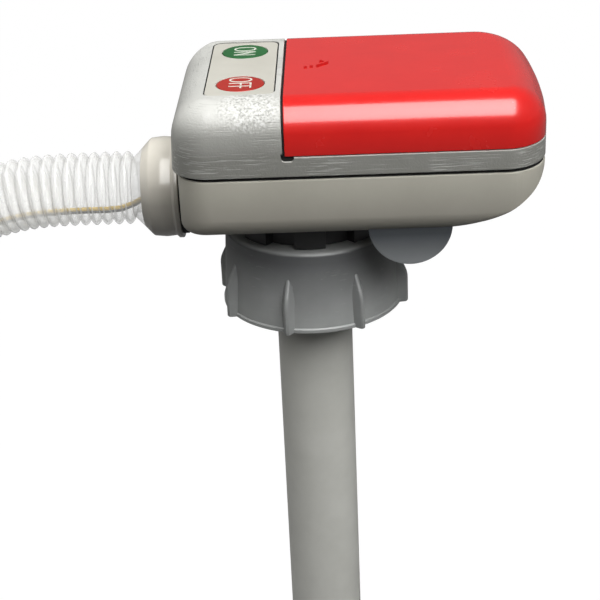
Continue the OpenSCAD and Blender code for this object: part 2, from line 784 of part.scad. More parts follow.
module screw_cap() {
    edge = 1.5;
    bead = 0.4;
    bead_h = 1.2;
    first_rib = -105;
    rib_top = 0.5;
    low = -skirt_depth;
    top_r = cap_top_d / 2;
    color([0.45, 0.44, 0.42]) difference() {
        union() {
            rotate_extrude($fn = 96) {
                polygon([[cap_bore / 2 + 0.8, low], [cap_d / 2 + bead, low], [cap_d / 2 + bead, low + bead_h],
                    [cap_d / 2 - 0.1, low + bead_h + bead], [top_r, cap_top_z - edge],
                    [top_r - edge, cap_top_z], [0, cap_top_z], [0, web_z], [cap_bore / 2, web_z],
                    [cap_bore / 2, low + 0.8]]);
                translate([top_r - edge, cap_top_z - edge]) circle(r = edge);
            }
            for (k = [0 : rib_count - 1]) rotate([0, 0, 360 * k / rib_count + first_rib])
                grip_rib(low, rib_top);
        }
        rod(neck_d + 2 * turn_gap, web_z - eps, cap_top_z + eps);
    }
}

module cap_gasket() {
    color([0.1, 0.1, 0.1]) ring(flange_d, tube_d + 2 * push_gap, 0, gasket_t);
}

module intake_tube() {
    color([0.78, 0.78, 0.75]) difference() {
        union() {
            rod(tube_d, -tube_l, socket_top);
            rod(flange_d, flange_z, flange_z + flange_t);
        }
        rod(tube_bore, -tube_l - eps, socket_top + eps);
    }
}

module strainer_foot() {
    floor_t = 2;
    grip = 14;
    top = -tube_l + grip;
    low = top - foot_h;
    od = tube_d + 2 * push_gap + 2 * foot_wall;
    slot_w = 2.6;
    slot_h = foot_h - grip - floor_t - 4;
    color([0.35, 0.35, 0.34]) difference() {
        rod(od, low, top);
        rod(tube_d + 2 * push_gap, -tube_l, top + eps);
        rod(tube_bore, low + floor_t, top);
        rod(tube_bore / 2, low - eps, top);
        for (k = [0 : slot_count - 1]) rotate([0, 0, 360 * k / slot_count])
            box([tube_bore / 4, -slot_w / 2, -tube_l - 2 - slot_h], [od, slot_w / 2, -tube_l - 2]);
    }
}

module motor_can() {
    color([0.7, 0.71, 0.73]) difference() {
        rod(motor_d, manifold_top, manifold_top + motor_l);
        rod(motor_shaft_d + 2 * shaft_gap, manifold_top - eps, manifold_top + motor_l - 2);
    }
}

module motor_end_cap() {
    z = manifold_top + motor_l;
    color([0.15, 0.15, 0.16]) {
        rod(motor_d - 1, z, z + end_cap_l);
        for (y = [-7, 7])
            box([-1.2, y - 0.3, z + end_cap_l - eps], [1.2, y + 0.3, z + end_cap_l + terminal_l]);
    }
}

module motor_shaft() {
    color([0.8, 0.81, 0.82]) rod(motor_shaft_d, coupling_mid, manifold_top + motor_l - 2.5);
}

module shaft_coupling() {
    color([0.85, 0.85, 0.82]) difference() {
        rod(coupling_d, coupling_top - coupling_l, coupling_top);
        rod(motor_shaft_d + 2 * push_gap, coupling_mid, coupling_top + eps);
        rod(shaft_d + 2 * push_gap, coupling_top - coupling_l - eps, coupling_mid);
    }
}

module drive_shaft() {
    color([0.8, 0.81, 0.82]) rod(shaft_d, shaft_end, coupling_mid);
}

module impeller() {
    tip_r = tube_bore / 2 - impeller_gap;
    mid = impeller_z + impeller_h / 2;
    color([0.9, 0.9, 0.88]) difference() {
        union() {
            rod(impeller_hub_d, impeller_z, impeller_z + impeller_h);
            intersection() {
                rod(2 * tip_r, impeller_z, impeller_z + impeller_h);
                for (k = [0 : vane_count - 1]) rotate([0, 0, 360 * k / vane_count]) translate([0, 0, mid])
                    rotate([vane_pitch, 0, 0]) box([impeller_hub_d / 4, -vane_t / 2, -impeller_h / 2],
                        [2 * tip_r, vane_t / 2, impeller_h / 2]);
            }
        }
        rod(shaft_d + 2 * push_gap, impeller_z - eps, impeller_z + impeller_h + eps);
    }
}

module shaft_bushes() {
    spoke_t = 1.8;
    rim_t = 1.4;
    od = tube_bore - 2 * push_gap;
    color([0.88, 0.87, 0.84]) for (z = bush_zs) {
        difference() {
            union() {
                ring(od, od - 2 * rim_t, z, z + bush_h);
                rod(hub_d, z, z + bush_h);
                for (k = [0 : 2]) rotate([0, 0, 120 * k])
                    box([hub_d / 4, -spoke_t / 2, z], [od / 2 - rim_t / 2, spoke_t / 2, z + bush_h]);
            }
            rod(shaft_d + 2 * shaft_gap, z - eps, z + bush_h + eps);
        }
    }
}

module shaft_seal() {
    color([0.1, 0.1, 0.1]) ring(seal_d, motor_shaft_d + 2 * shaft_gap, manifold_top - seal_t, manifold_top);
}

module outlet_collar() {
    r = outlet_collar_d / 2;
    lip = 0.8;
    lip_l = 1.3;
    x0 = -branch_l + outlet_collar_l;
    bevel_r = hose_root_d / 2 + cuff_l;
    color([0.8, 0.77, 0.72]) outlet_way(x0) rotate_extrude($fn = 96)
        polygon([[branch_d / 2 + push_gap, 0], [r + lip, 0], [r + lip, lip_l], [r, lip_l + lip],
            [r, outlet_collar_l], [bevel_r, outlet_collar_l + outlet_bevel_l],
            [branch_d / 2 + push_gap, outlet_collar_l + outlet_bevel_l]]);
}

module hose_cuff() {
    z0 = branch_l;
    z1 = z0 + outlet_bevel_l;
    bevel_r = hose_root_d / 2 + cuff_l;
    color([0.9, 0.92, 0.92]) outlet_way() rotate_extrude($fn = 96)
        polygon([[branch_bore / 2, z0], [branch_d / 2, z0], [branch_d / 2, z1], [bevel_r, z1],
            [hose_root_d / 2, z1 + cuff_l], [branch_bore / 2, z1 + cuff_l]]);
}

module discharge_hose() {
    outer = [for (i = [0 : 2 * rib_total]) let (s = i * rib_step / 2)
        ring_at(on_route(s), heading(s), [0, 1, 0], (i % 2 == 1 ? hose_d : hose_root_d) / 2, hose_sides)];
    inner = [for (i = [0 : bore_rings]) let (s = i * hose_l / bore_rings)
        ring_at(on_route(s), heading(s), [0, 1, 0], hose_bore / 2, hose_sides)];
    color([0.9, 0.93, 0.94]) hollow_tube(outer, inner, hose_sides);
}

// Each wire starts in the gland at the top of the branch, settles on the hose's lower front side
// and comes back over its straight run to the probe
function ease(f) = f <= 0 ? 0 : f >= 1 ? 1 : f * f * (3 - 2 * f);
wire_run_start = wire_start + wire_bend_l;
function settled(s) = ease((s - wire_start) / wire_ease_l);
function returned(s) = ease((s - wire_run_start) / (wire_total - wire_run_start));
function wire_offset(s, first, lie, last) =
    first + (lie - first) * settled(s) + (last - lie) * returned(s);
wire_stations = concat([for (k = [0 : wire_bend_rings]) wire_start + wire_bend_l * k / wire_bend_rings],
    [for (k = [1 : wire_run_rings]) wire_run_start + (wire_total - wire_run_start) * k / wire_run_rings]);

// Each offset from the hose's centre line is [height, side]
module sensor_wire(first, lie, last) {
    path = [for (s = wire_stations) let (off = wire_offset(s, first, lie, last))
        beside_route(s, off[0], off[1])];
    end = len(path) - 1;
    rings = [for (k = [0 : end]) ring_at(path[k],
        k == 0 ? [-1, 0, 0] : k == end ? [0, 0, -1] : unit(path[k + 1] - path[k - 1]),
        [0, 1, 0], wire_d / 2, wire_sides)];
    closed_tube(rings, wire_sides);
}

module upper_wire() {
    color([0.85, 0.72, 0.2]) sensor_wire([wire_up, -wire_side], [-4.7, -4.8], [-5.2, -wire_side]);
}

module lower_wire() {
    color([0.25, 0.26, 0.27]) sensor_wire([wire_up, wire_side], [-5.9, -3.1], [-6.4, wire_side]);
}

module nozzle_cuff() {
    color([0.9, 0.92, 0.92]) translate([hose_end_x, 0, 0]) rotate_extrude()
        polygon([[branch_bore / 2, hose_end_z], [hose_root_d / 2, hose_end_z], [grip_d / 2 - 1, nozzle_top_z],
            [branch_bore / 2, nozzle_top_z]]);
}

module nozzle_body() {
    z1 = nozzle_top_z;
    z2 = z1 - grip_l;
    z3 = z2 - grip_taper;
    groove = 0.8;
    color([0.35, 0.35, 0.34]) translate([hose_end_x, 0, 0]) difference() {
        union() {
            rotate_extrude() polygon([[0, z1], [grip_d / 2 - 1, z1], [grip_d / 2, z1 - 1], [grip_d / 2, z2],
                [spout_d / 2, z3], [spout_d / 2, spout_end_z + 1], [spout_d / 2 - 0.6, spout_end_z],
                [0, spout_end_z]]);
        }
        rod(spout_bore, spout_end_z - eps, z1 + eps);
        for (z = [z2 + 6 : 5 : z1 - 5]) ring(grip_d + 2, grip_d - 2 * groove, z, z + 2);
    }
}

module sensor_probe() {
    pin_d = 1.2;
    color([0.15, 0.15, 0.15]) translate([probe_x, 0, 0]) {
        rod(probe_d, probe_z1 - probe_l, probe_z1);
        for (y = [-1.3, 1.3]) translate([0, y, 0]) rod(pin_d, spout_end_z + 1, probe_z1 - probe_l + eps);
    }
}

lower_casing();
upper_casing();
battery_cover();
switch_pad();
on_button();
off_button();
circuit_board();
tact_switches();
aa_cells();
contact_springs();
contact_plates();
case_screws();
outlet_manifold();
neck_collar();
screw_cap();
cap_gasket();
intake_tube();
strainer_foot();
motor_can();
motor_end_cap();
motor_shaft();
shaft_coupling();
drive_shaft();
impeller();
shaft_bushes();
shaft_seal();
outlet_collar();
hose_cuff();
discharge_hose();
upper_wire();
lower_wire();
lead_gland();
nozzle_cuff();
nozzle_body();
sensor_probe();
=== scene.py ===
import bpy
import bmesh
import math
from mathutils import Matrix, Vector


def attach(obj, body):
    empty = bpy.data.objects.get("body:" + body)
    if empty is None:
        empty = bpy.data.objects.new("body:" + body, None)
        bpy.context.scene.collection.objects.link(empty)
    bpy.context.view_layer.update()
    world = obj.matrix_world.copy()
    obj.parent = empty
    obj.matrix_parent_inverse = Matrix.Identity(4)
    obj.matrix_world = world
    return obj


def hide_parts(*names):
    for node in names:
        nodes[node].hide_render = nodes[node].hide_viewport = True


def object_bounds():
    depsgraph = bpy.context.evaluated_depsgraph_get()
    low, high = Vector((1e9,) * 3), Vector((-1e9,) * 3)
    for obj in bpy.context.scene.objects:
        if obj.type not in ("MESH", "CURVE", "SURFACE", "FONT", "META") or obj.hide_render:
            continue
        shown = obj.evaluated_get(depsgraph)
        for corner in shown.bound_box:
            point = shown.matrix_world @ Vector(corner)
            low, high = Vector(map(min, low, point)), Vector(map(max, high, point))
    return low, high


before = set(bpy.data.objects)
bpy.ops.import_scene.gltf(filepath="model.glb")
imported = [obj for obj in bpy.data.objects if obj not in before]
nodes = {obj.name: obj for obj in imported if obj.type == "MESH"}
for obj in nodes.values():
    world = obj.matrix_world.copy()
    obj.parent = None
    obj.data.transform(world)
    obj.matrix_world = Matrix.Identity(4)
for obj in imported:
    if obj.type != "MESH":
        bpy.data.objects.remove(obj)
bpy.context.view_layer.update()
mm = 0.001
tiny = 1e-6
weld = 1e-7
print("frame loaded:", len(nodes), "nodes")


def newObject(name, data):
    thing = bpy.data.objects.new(name, data)
    bpy.context.scene.collection.objects.link(thing)
    return thing


# camera

view = {"place": (10.96, -477.86, 212.88), "pitch": 26.133, "yaw": -1.898, "roll": -2.657, "lens": 92.04,
    "sensor": 36.0, "clip": (0.05, 50.0)}


def placeCamera():
    pitch, yaw, roll = (math.radians(view[k]) for k in ("pitch", "yaw", "roll"))
    ahead = Vector((math.sin(yaw) * math.cos(pitch), math.cos(yaw) * math.cos(pitch), -math.sin(pitch)))
    right = Vector((math.cos(yaw), -math.sin(yaw), 0))
    up = right.cross(ahead)
    rolledRight = right * math.cos(roll) + up * math.sin(roll)
    rolledUp = up * math.cos(roll) - right * math.sin(roll)
    data = bpy.data.cameras.new("photoCamera")
    data.sensor_width, data.lens = view["sensor"], view["lens"]
    data.clip_start, data.clip_end = view["clip"]
    camera = newObject("photoCamera", data)
    turn = Matrix((rolledRight, rolledUp, -ahead)).transposed().to_4x4()
    camera.matrix_world = Matrix.Translation(Vector(view["place"]) * mm) @ turn
    bpy.context.scene.camera = camera


placeCamera()

# shader building blocks

finishes = {}


def newGroup(name, inputs, outputs):
    group = bpy.data.node_groups.new(name, "ShaderNodeTree")
    for label, kind, value in inputs:
        socket = group.interface.new_socket(label, in_out="INPUT", socket_type=kind)
        if value is not None:
            socket.default_value = value
    for label, kind in outputs:
        group.interface.new_socket(label, in_out="OUTPUT", socket_type=kind)
    return group, group.nodes.new("NodeGroupInput"), group.nodes.new("NodeGroupOutput")


def feed(tree, socket, value):
    # a number or a colour goes on the socket itself, an output is linked to it
    if isinstance(value, (int, float)):
        socket.default_value = value
    elif isinstance(value, tuple):
        socket.default_value = (*value, 1)
    else:
        tree.links.new(value, socket)


def mathNode(tree, operation, a, b=None, c=None, clamp=False):
    node = tree.nodes.new("ShaderNodeMath")
    node.operation = operation
    node.use_clamp = clamp
    for socket, value in zip(node.inputs, (a, b, c)):
        if value is not None:
            feed(tree, socket, value)
    return node.outputs[0]


def times(tree, a, b, clamp=False):
    return mathNode(tree, "MULTIPLY", a, b, clamp=clamp)


def plus(tree, a, b, clamp=False):
    return mathNode(tree, "ADD", a, b, clamp=clamp)


def noiseNode(tree, vector, scale, detail, rough):
    node = tree.nodes.new("ShaderNodeTexNoise")
    node.inputs["Detail"].default_value = detail
    node.inputs["Roughness"].default_value = rough
    feed(tree, node.inputs["Scale"], scale)
    tree.links.new(vector, node.inputs["Vector"])
    return node.outputs["Fac"]


def ramp(tree, value, low, high):
    node = tree.nodes.new("ShaderNodeMapRange")
    node.clamp = True
    node.inputs["From Min"].default_value = low
    node.inputs["From Max"].default_value = high
    tree.links.new(value, node.inputs["Value"])
    return node.outputs["Result"]


def split(tree, vector):
    node = tree.nodes.new("ShaderNodeSeparateXYZ")
    tree.links.new(vector, node.inputs[0])
    return node.outputs


def makeMouldGrain():
    # fine moulded texture: a spark-eroded grain over a slow mottling
    group, start, end = newGroup("mouldGrain", [("Vector", "NodeSocketVector", None),
        ("Grain Size", "NodeSocketFloat", 2600.0), ("Mottle Size", "NodeSocketFloat", 60.0)],
        [("Height", "NodeSocketFloat"), ("Mottle", "NodeSocketFloat")])
    grain = noiseNode(group, start.outputs["Vector"], start.outputs["Grain Size"], 2.0, 0.5)
    mottle = noiseNode(group, start.outputs["Vector"], start.outputs["Mottle Size"], 4.0, 0.6)
    group.links.new(grain, end.inputs["Height"])
    group.links.new(mottle, end.inputs["Mottle"])
    return group


def makeScuffs():
    # short strokes along one direction, in patches, left by handling and packing
    group, start, end = newGroup("scuffs", [("Vector", "NodeSocketVector", None),
        ("Stretch", "NodeSocketVector", (90.0, 300.0, 2400.0)), ("Coverage", "NodeSocketFloat", 0.62)],
        [("Mask", "NodeSocketFloat")])
    stretched = group.nodes.new("ShaderNodeVectorMath")
    stretched.operation = "MULTIPLY"
    group.links.new(start.outputs["Vector"], stretched.inputs[0])
    group.links.new(start.outputs["Stretch"], stretched.inputs[1])
    strokes = noiseNode(group, stretched.outputs[0], 1.0, 3.0, 0.6)
    patches = noiseNode(group, start.outputs["Vector"], 75.0, 2.0, 0.5)
    over = mathNode(group, "SUBTRACT", strokes, start.outputs["Coverage"])
    sharp = times(group, over, 9.0, True)
    gate = ramp(group, patches, 0.36, 0.56)
    group.links.new(times(group, sharp, gate, True), end.inputs["Mask"])
    return group


mouldGrain = makeMouldGrain()
scuffs = makeScuffs()


def setSockets(node, values):
    for label, value in values.items():
        node.inputs[label.replace("_", " ")].default_value = value


def newMaterial(name, colour, roughness, **sockets):
    material = bpy.data.materials.new(name)
    material.use_nodes = True
    tree = material.node_tree
    shader = tree.nodes["Principled BSDF"]
    shader.inputs["Base Color"].default_value = (*colour, 1)
    shader.inputs["Roughness"].default_value = roughness
    setSockets(shader, sockets)
    material.diffuse_color = (*colour, 1)
    finishes[name] = material
    return tree, shader


def objectVector(tree):
    return tree.nodes.new("ShaderNodeTexCoord").outputs["Object"]


def placeGroup(tree, group, vector, **values):
    node = tree.nodes.new("ShaderNodeGroup")
    node.node_tree = group
    tree.links.new(vector, node.inputs["Vector"])
    setSockets(node, values)
    return node


def mixColour(tree, mask, first, second):
    node = tree.nodes.new("ShaderNodeMix")
    node.data_type = "RGBA"
    tree.links.new(mask, node.inputs["Factor"])
    feed(tree, node.inputs[6], first)
    feed(tree, node.inputs[7], second)
    return node.outputs[2]


def mixInto(tree, share, first, second):
    # the surface goes from one shader to another
    mix = tree.nodes.new("ShaderNodeMixShader")
    for socket, output in zip(mix.inputs, (share, first.outputs[0], second.outputs[0])):
        tree.links.new(output, socket)
    tree.links.new(mix.outputs[0], tree.nodes["Material Output"].inputs["Surface"])


def bumpInto(tree, shader, height, strength, distance):
    node = tree.nodes.new("ShaderNodeBump")
    node.inputs["Strength"].default_value = strength
    node.inputs["Distance"].default_value = distance
    tree.links.new(height, node.inputs["Height"])
    tree.links.new(node.outputs["Normal"], shader.inputs["Normal"])


def paintedShadeBand(tree, vector, paintedShade):
    # painted shade: share of a darker tone towards one end of a piece, less on faces that look up
    place, facing = split(tree, vector), split(tree, vector.node.outputs["Normal"])
    band = times(tree, ramp(tree, place["Z"], paintedShade["from"] * mm, paintedShade["to"] * mm), paintedShade["share"])
    return times(tree, band, ramp(tree, facing["Z"], 0.8, 0.3))


def paintedGlintPatch(tree, vector, tone, paintedGlints):
    # painted glints: light and dark specks that stand in for the grain sparkling in the highlight, fading out
    # round a place
    away = tree.nodes.new("ShaderNodeVectorMath")
    away.operation = "MULTIPLY_ADD"
    tree.links.new(vector, away.inputs[0])
    away.inputs[1].default_value = [1 / (size * mm) for size in paintedGlints["size"]]
    away.inputs[2].default_value = [-place / size for place, size in zip(paintedGlints["place"], paintedGlints["size"])]
    reach = tree.nodes.new("ShaderNodeVectorMath")
    reach.operation = "LENGTH"
    tree.links.new(away.outputs["Vector"], reach.inputs[0])
    near = ramp(tree, reach.outputs["Value"], *paintedGlints["fade"])
    grain = noiseNode(tree, vector, paintedGlints["grain"], 1.0, 0.5)
    for (low, high), share, colour in paintedGlints["specks"]:
        spots = times(tree, ramp(tree, grain, low, high), near)
        tone = mixColour(tree, times(tree, spots, share), tone, colour)
    return tone


def plastic(name, dark, light, roughness, roughSpan=0.08, grain=2600.0, mottle=60.0, bump=0.25,
        depth=0.00004, scuff=None, scuffColour=None, stretch=(90.0, 300.0, 2400.0), coverage=0.62,
        paintedShade=None, paintedGlints=None, wave=0.0, **sockets):
    # moulded plastic: mottled between two tones, grained, with painted shade, scuffed, with painted glints or
    # wavy where asked
    tree, shader = newMaterial(name, light, roughness, **sockets)
    vector = objectVector(tree)
    surface = placeGroup(tree, mouldGrain, vector, Grain_Size=grain, Mottle_Size=mottle)
    tone = mixColour(tree, ramp(tree, surface.outputs["Mottle"], 0.3, 0.7), dark, light)
    rough = ramp(tree, surface.outputs["Mottle"], 0.25, 0.75)
    rough = mathNode(tree, "MULTIPLY_ADD", rough, roughSpan, roughness - roughSpan / 2)
    height = surface.outputs["Height"]
    # painted shade: darker towards one end of the piece and on faces that look down
    if paintedShade:
        tone = mixColour(tree, paintedShadeBand(tree, vector, paintedShade), tone, paintedShade["colour"])
    if scuff:
        marks = placeGroup(tree, scuffs, vector, Stretch=stretch, Coverage=coverage)
        amount = times(tree, marks.outputs["Mask"], scuff, True)
        tone = mixColour(tree, amount, tone, scuffColour)
        height = mathNode(tree, "SUBTRACT", height, amount)
    # painted glints: light and dark specks round one place
    if paintedGlints:
        tone = paintedGlintPatch(tree, vector, tone, paintedGlints)
    if wave:
        height = plus(tree, height, times(tree, noiseNode(tree, vector, 70.0, 1.0, 0.5), wave))
    tree.links.new(tone, shader.inputs["Base Color"])
    tree.links.new(rough, shader.inputs["Roughness"])
    bumpInto(tree, shader, height, bump, depth)


def metal(name, colour, roughness):
    # drawn or rolled metal with fine lines along one direction
    tree, shader = newMaterial(name, colour, roughness, Metallic=1.0)
    marks = placeGroup(tree, scuffs, objectVector(tree), Stretch=(60.0, 60.0, 4000.0), Coverage=0.45)
    rough = mathNode(tree, "MULTIPLY_ADD", marks.outputs["Mask"], 0.12, roughness)
    tree.links.new(rough, shader.inputs["Roughness"])
    bumpInto(tree, shader, marks.outputs["Mask"], 0.15, 0.00002)


def clearPlastic(name, colour, roughness, haze, edge, power, glow=0.06, ribs=None, film=None):
    # thin clear wall: seen through face on, milky where it is seen edge on, on its ribs and under a film; its
    # emission is a painted glow, standing in for light passing through the milky wall
    tree, shader = newMaterial(name, colour, roughness, Emission_Color=(1, 1, 0.98, 1),
        Emission_Strength=glow)
    vector = objectVector(tree)
    surface = placeGroup(tree, mouldGrain, vector, Grain_Size=500.0, Mottle_Size=90.0)
    tone = mixColour(tree, surface.outputs["Mottle"], tuple(c * 0.92 for c in colour), colour)
    bumpInto(tree, shader, surface.outputs["Mottle"], 0.2, 0.0003)
    facing = tree.nodes.new("ShaderNodeLayerWeight")
    facing.inputs["Blend"].default_value = 0.5
    rim = mathNode(tree, "POWER", facing.outputs["Facing"], power)
    share = mathNode(tree, "MULTIPLY_ADD", rim, edge - haze, haze)
    # painted highlight lines on the crests, and painted shade in the folds between them
    if ribs:  # light crests, and darker folds between them
        attribute = tree.nodes.new("ShaderNodeAttribute")
        attribute.attribute_name = ribs["attribute"]
        depth = attribute.outputs["Fac"]
        fold = mathNode(tree, "POWER", depth, ribs["foldPower"])
        crest = mathNode(tree, "POWER", mathNode(tree, "SUBTRACT", 1.0, depth), ribs["crestPower"])
        tone = mixColour(tree, fold, tone, ribs["foldShadeColour"])
        share = plus(tree, share, times(tree, fold, ribs["fold"]), True)
        share = plus(tree, share, times(tree, crest, ribs["crest"]), True)
    tree.links.new(tone, shader.inputs["Base Color"])
    if film:  # residue in the low side of the bend
        place = split(tree, vector)
        layer = times(tree, ramp(tree, place["X"], *film["x"]), ramp(tree, place["Z"], *film["z"]))
        layer = times(tree, layer, ramp(tree, place["Z"], *film["until"]))
        share = plus(tree, share, times(tree, layer, film["share"]), True)
    mixInto(tree, share, tree.nodes.new("ShaderNodeBsdfTransparent"), shader)


# upper grey: painted shade darkens the front down towards the rim, and painted glints speckle the front
# rounding where the highlight falls
plastic("upperGrey", (0.55, 0.55, 0.515), (0.62, 0.62, 0.585), 0.36, 0.1, grain=1600.0, bump=1.0,
    depth=0.00012, scuff=0.75, scuffColour=(0.48, 0.48, 0.455), coverage=0.54, Specular_IOR_Level=0.3,
    paintedShade={"from": 61, "to": 46, "share": 0.72, "colour": (0.1, 0.1, 0.085)},
    paintedGlints={"place": (-16.5, -32.5, 58.5), "size": (12.0, 9.0, 8.0), "grain": 1300.0, "fade": (1.0, 0.65),
        "specks": [((0.52, 0.6), 0.9, (0.72, 0.72, 0.7)), ((0.45, 0.36), 0.7, (0.28, 0.28, 0.26))]})
# lower grey: painted shade, darker towards the bottom and on faces that look down
plastic("lowerGrey", (0.40, 0.385, 0.33), (0.44, 0.425, 0.365), 0.5,
    paintedShade={"from": 38, "to": 24, "share": 0.6, "colour": (0.15, 0.14, 0.12)})
# tab: a darker, bluer copy of the casing grey, painted shadow of the casing above and a painted blue
# reflection, with painted shade deepening towards its top
plastic("tabShadowGrey", (0.16, 0.17, 0.175), (0.19, 0.2, 0.205), 0.45, bump=0.2,
    paintedShade={"from": 8.5, "to": 17.5, "share": 0.85, "colour": (0.02, 0.024, 0.03)})
# cover red: painted shade, darker towards the lower edge of the cover and on faces that look down
plastic("coverRed", (0.66, 0.009, 0.007), (0.71, 0.012, 0.009), 0.26, 0.05, grain=900.0, bump=0.05, wave=48.0,
    scuff=0.4, scuffColour=(0.4, 0.02, 0.016), stretch=(600.0, 600.0, 600.0), coverage=0.7,
    Coat_Weight=0.45, Coat_Roughness=0.12,
    paintedShade={"from": 52, "to": 46, "share": 0.3, "colour": (0.2, 0.005, 0.004)})
# arrow red: a darker copy of the cover red, painted shade for the shaded sides of the raised arrow
plastic("markShadeRed", (0.4, 0.004, 0.004), (0.46, 0.006, 0.005), 0.6, 0.05, bump=0.1, Specular_IOR_Level=0.08)
plastic("padGrey", (0.50, 0.485, 0.425), (0.55, 0.535, 0.475), 0.45, 0.06, grain=1800.0, bump=0.15)
plastic("keyGreen", (0.01, 0.098, 0.022), (0.016, 0.128, 0.032), 0.42, 0.06, bump=0.1)
plastic("keyRed", (0.34, 0.015, 0.008), (0.39, 0.021, 0.012), 0.42, 0.06, bump=0.1)
plastic("printWhite", (0.62, 0.64, 0.56), (0.70, 0.72, 0.64), 0.5, 0.05, bump=0.05)
# cap grey: painted shadow of the head, darker towards the top of the cap and on faces that look down
plastic("capGrey", (0.26, 0.268, 0.262), (0.31, 0.318, 0.312), 0.42, 0.1,
    scuff=0.2, scuffColour=(0.4, 0.4, 0.38), stretch=(200.0, 200.0, 900.0),
    paintedShade={"from": -14, "to": 5, "share": 0.78, "colour": (0.03, 0.031, 0.035)})
plastic("neckBlack", (0.006, 0.006, 0.006), (0.011, 0.011, 0.012), 0.45, 0.1)
# collar beige: painted shade, darker towards the underside of the collar
plastic("collarBeige", (0.76, 0.72, 0.63), (0.82, 0.78, 0.69), 0.2, 0.06, bump=0.1,
    paintedShade={"from": 36, "to": 22, "share": 0.6, "colour": (0.1, 0.095, 0.085)})
plastic("tubeGrey", (0.52, 0.52, 0.48), (0.58, 0.58, 0.54), 0.4, bump=0.15)
plastic("footGrey", (0.085, 0.085, 0.08), (0.11, 0.11, 0.105), 0.5, 0.1)
plastic("innerGrey", (0.42, 0.42, 0.39), (0.48, 0.48, 0.45), 0.5)
plastic("whitePlastic", (0.70, 0.70, 0.66), (0.78, 0.78, 0.74), 0.4, 0.06)
# black rubber of the gasket, seals and gland, also used for the black strips painted as shade in gaps
plastic("blackRubberAndShade", (0.008, 0.008, 0.008), (0.015, 0.015, 0.014), 0.75, 0.1, bump=0.4,
    Specular_IOR_Level=0.2)
plastic("boardGreen", (0.008, 0.085, 0.03), (0.012, 0.11, 0.04), 0.35, 0.1, mottle=400.0)
plastic("cellWrap", (0.025, 0.025, 0.03), (0.04, 0.04, 0.045), 0.25, 0.05, bump=0.05)
plastic("wireYellow", (0.62, 0.40, 0.03), (0.70, 0.47, 0.04), 0.45, 0.05)
plastic("wireGrey", (0.045, 0.047, 0.05), (0.06, 0.062, 0.066), 0.45, 0.05)
metal("contactSteel", (0.62, 0.62, 0.63), 0.22)
metal("screwSteel", (0.48, 0.48, 0.49), 0.3)
metal("motorSteel", (0.55, 0.56, 0.57), 0.28)
metal("shaftSteel", (0.62, 0.62, 0.63), 0.18)
# hose: painted glow through the milky wall, painted highlight lines on the rib crests and painted shade in
# their folds
clearPlastic("hoseClear", (0.93, 0.93, 0.91), 0.16, 0.14, 0.55, 3.0, 0.13,
    ribs={"attribute": "ribDepth", "foldPower": 6.0, "foldShadeColour": (0.42, 0.42, 0.41), "fold": 0.3,
        "crestPower": 20.0, "crest": 0.3},
    film={"x": (-0.076, -0.09), "z": (0.026, 0.0205), "until": (-0.03, 0.0), "share": 0.26})
# cuff: with the default painted glow through its milky wall
clearPlastic("cuffClear", (0.88, 0.88, 0.86), 0.3, 0.25, 0.55, 2.0)

# the nodes that show as they are

nodeFinish = {
    "boardGreen": ["circuit_board"], "cellWrap": ["aa_cells"], "screwSteel": ["case_screws"],
    "neckBlack": ["tact_switches", "neck_collar", "motor_end_cap", "sensor_probe"],
    "contactSteel": ["contact_springs", "contact_plates"], "innerGrey": ["outlet_manifold"],
    "blackRubberAndShade": ["cap_gasket", "shaft_seal", "lead_gland"], "tubeGrey": ["intake_tube"],
    "footGrey": ["strainer_foot", "nozzle_body"], "motorSteel": ["motor_can"],
    "shaftSteel": ["motor_shaft", "drive_shaft"], "cuffClear": ["hose_cuff", "nozzle_cuff"],
    "whitePlastic": ["shaft_coupling", "impeller", "shaft_bushes"],
}
for finish, names in nodeFinish.items():
    for name in names:
        nodes[name].data.materials.clear()
        nodes[name].data.materials.append(finishes[finish])
print("finishes:", len(finishes))

# piece helpers; shapes are given in millimetres


def addPiece(name, bm, finish, body, replaced=(), sharp=35, even=False):
    mesh = bpy.data.meshes.new(name)
    bm.to_mesh(mesh)
    bm.free()
    mesh.polygons.foreach_set("use_smooth", [True] * len(mesh.polygons))
    mesh.set_sharp_from_angle(angle=math.radians(sharp))
    mesh.materials.append(finishes[finish])
    piece = newObject(name, mesh)
    if even:  # wide flat faces keep their own direction beside the roundings
        normals = piece.modifiers.new("evenNormals", "WEIGHTED_NORMAL")
        normals.keep_sharp = True
    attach(piece, body)
    if replaced:
        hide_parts(*replaced)
    return piece


def everything(bm):
    return bm.verts[:] + bm.edges[:] + bm.faces[:]


def fixNormals(bm):
    bmesh.ops.recalc_face_normals(bm, faces=bm.faces[:])


def moveBy(bm, place):
    bmesh.ops.translate(bm, verts=bm.verts[:], vec=Vector(place) * mm)


def turnBy(bm, degrees, axis):
    bmesh.ops.rotate(bm, verts=bm.verts[:], matrix=Matrix.Rotation(math.radians(degrees), 3, axis))


def thicken(bm, size):
    bmesh.ops.solidify(bm, geom=bm.faces[:], thickness=size * mm)


def extrudeUp(bm, faces, height):
    raised = bmesh.ops.extrude_face_region(bm, geom=faces)["geom"]
    verts = [v for v in raised if isinstance(v, bmesh.types.BMVert)]
    bmesh.ops.translate(bm, verts=verts, vec=(0, 0, height * mm))


def roundEdges(bm, edges, size, steps, clamp=False):
    bmesh.ops.bevel(bm, geom=edges, offset=size * mm, segments=steps, profile=0.5, affect="EDGES",
        material=-1, clamp_overlap=clamp)


def boxShape(low, high, edge=0.0):
    bm = bmesh.new()
    bmesh.ops.create_cube(bm, size=1)
    for v in bm.verts:
        v.co = [(low[i] + (v.co[i] + 0.5) * (high[i] - low[i])) * mm for i in range(3)]
    if edge:
        roundEdges(bm, bm.edges[:], edge, 2)
    return bm


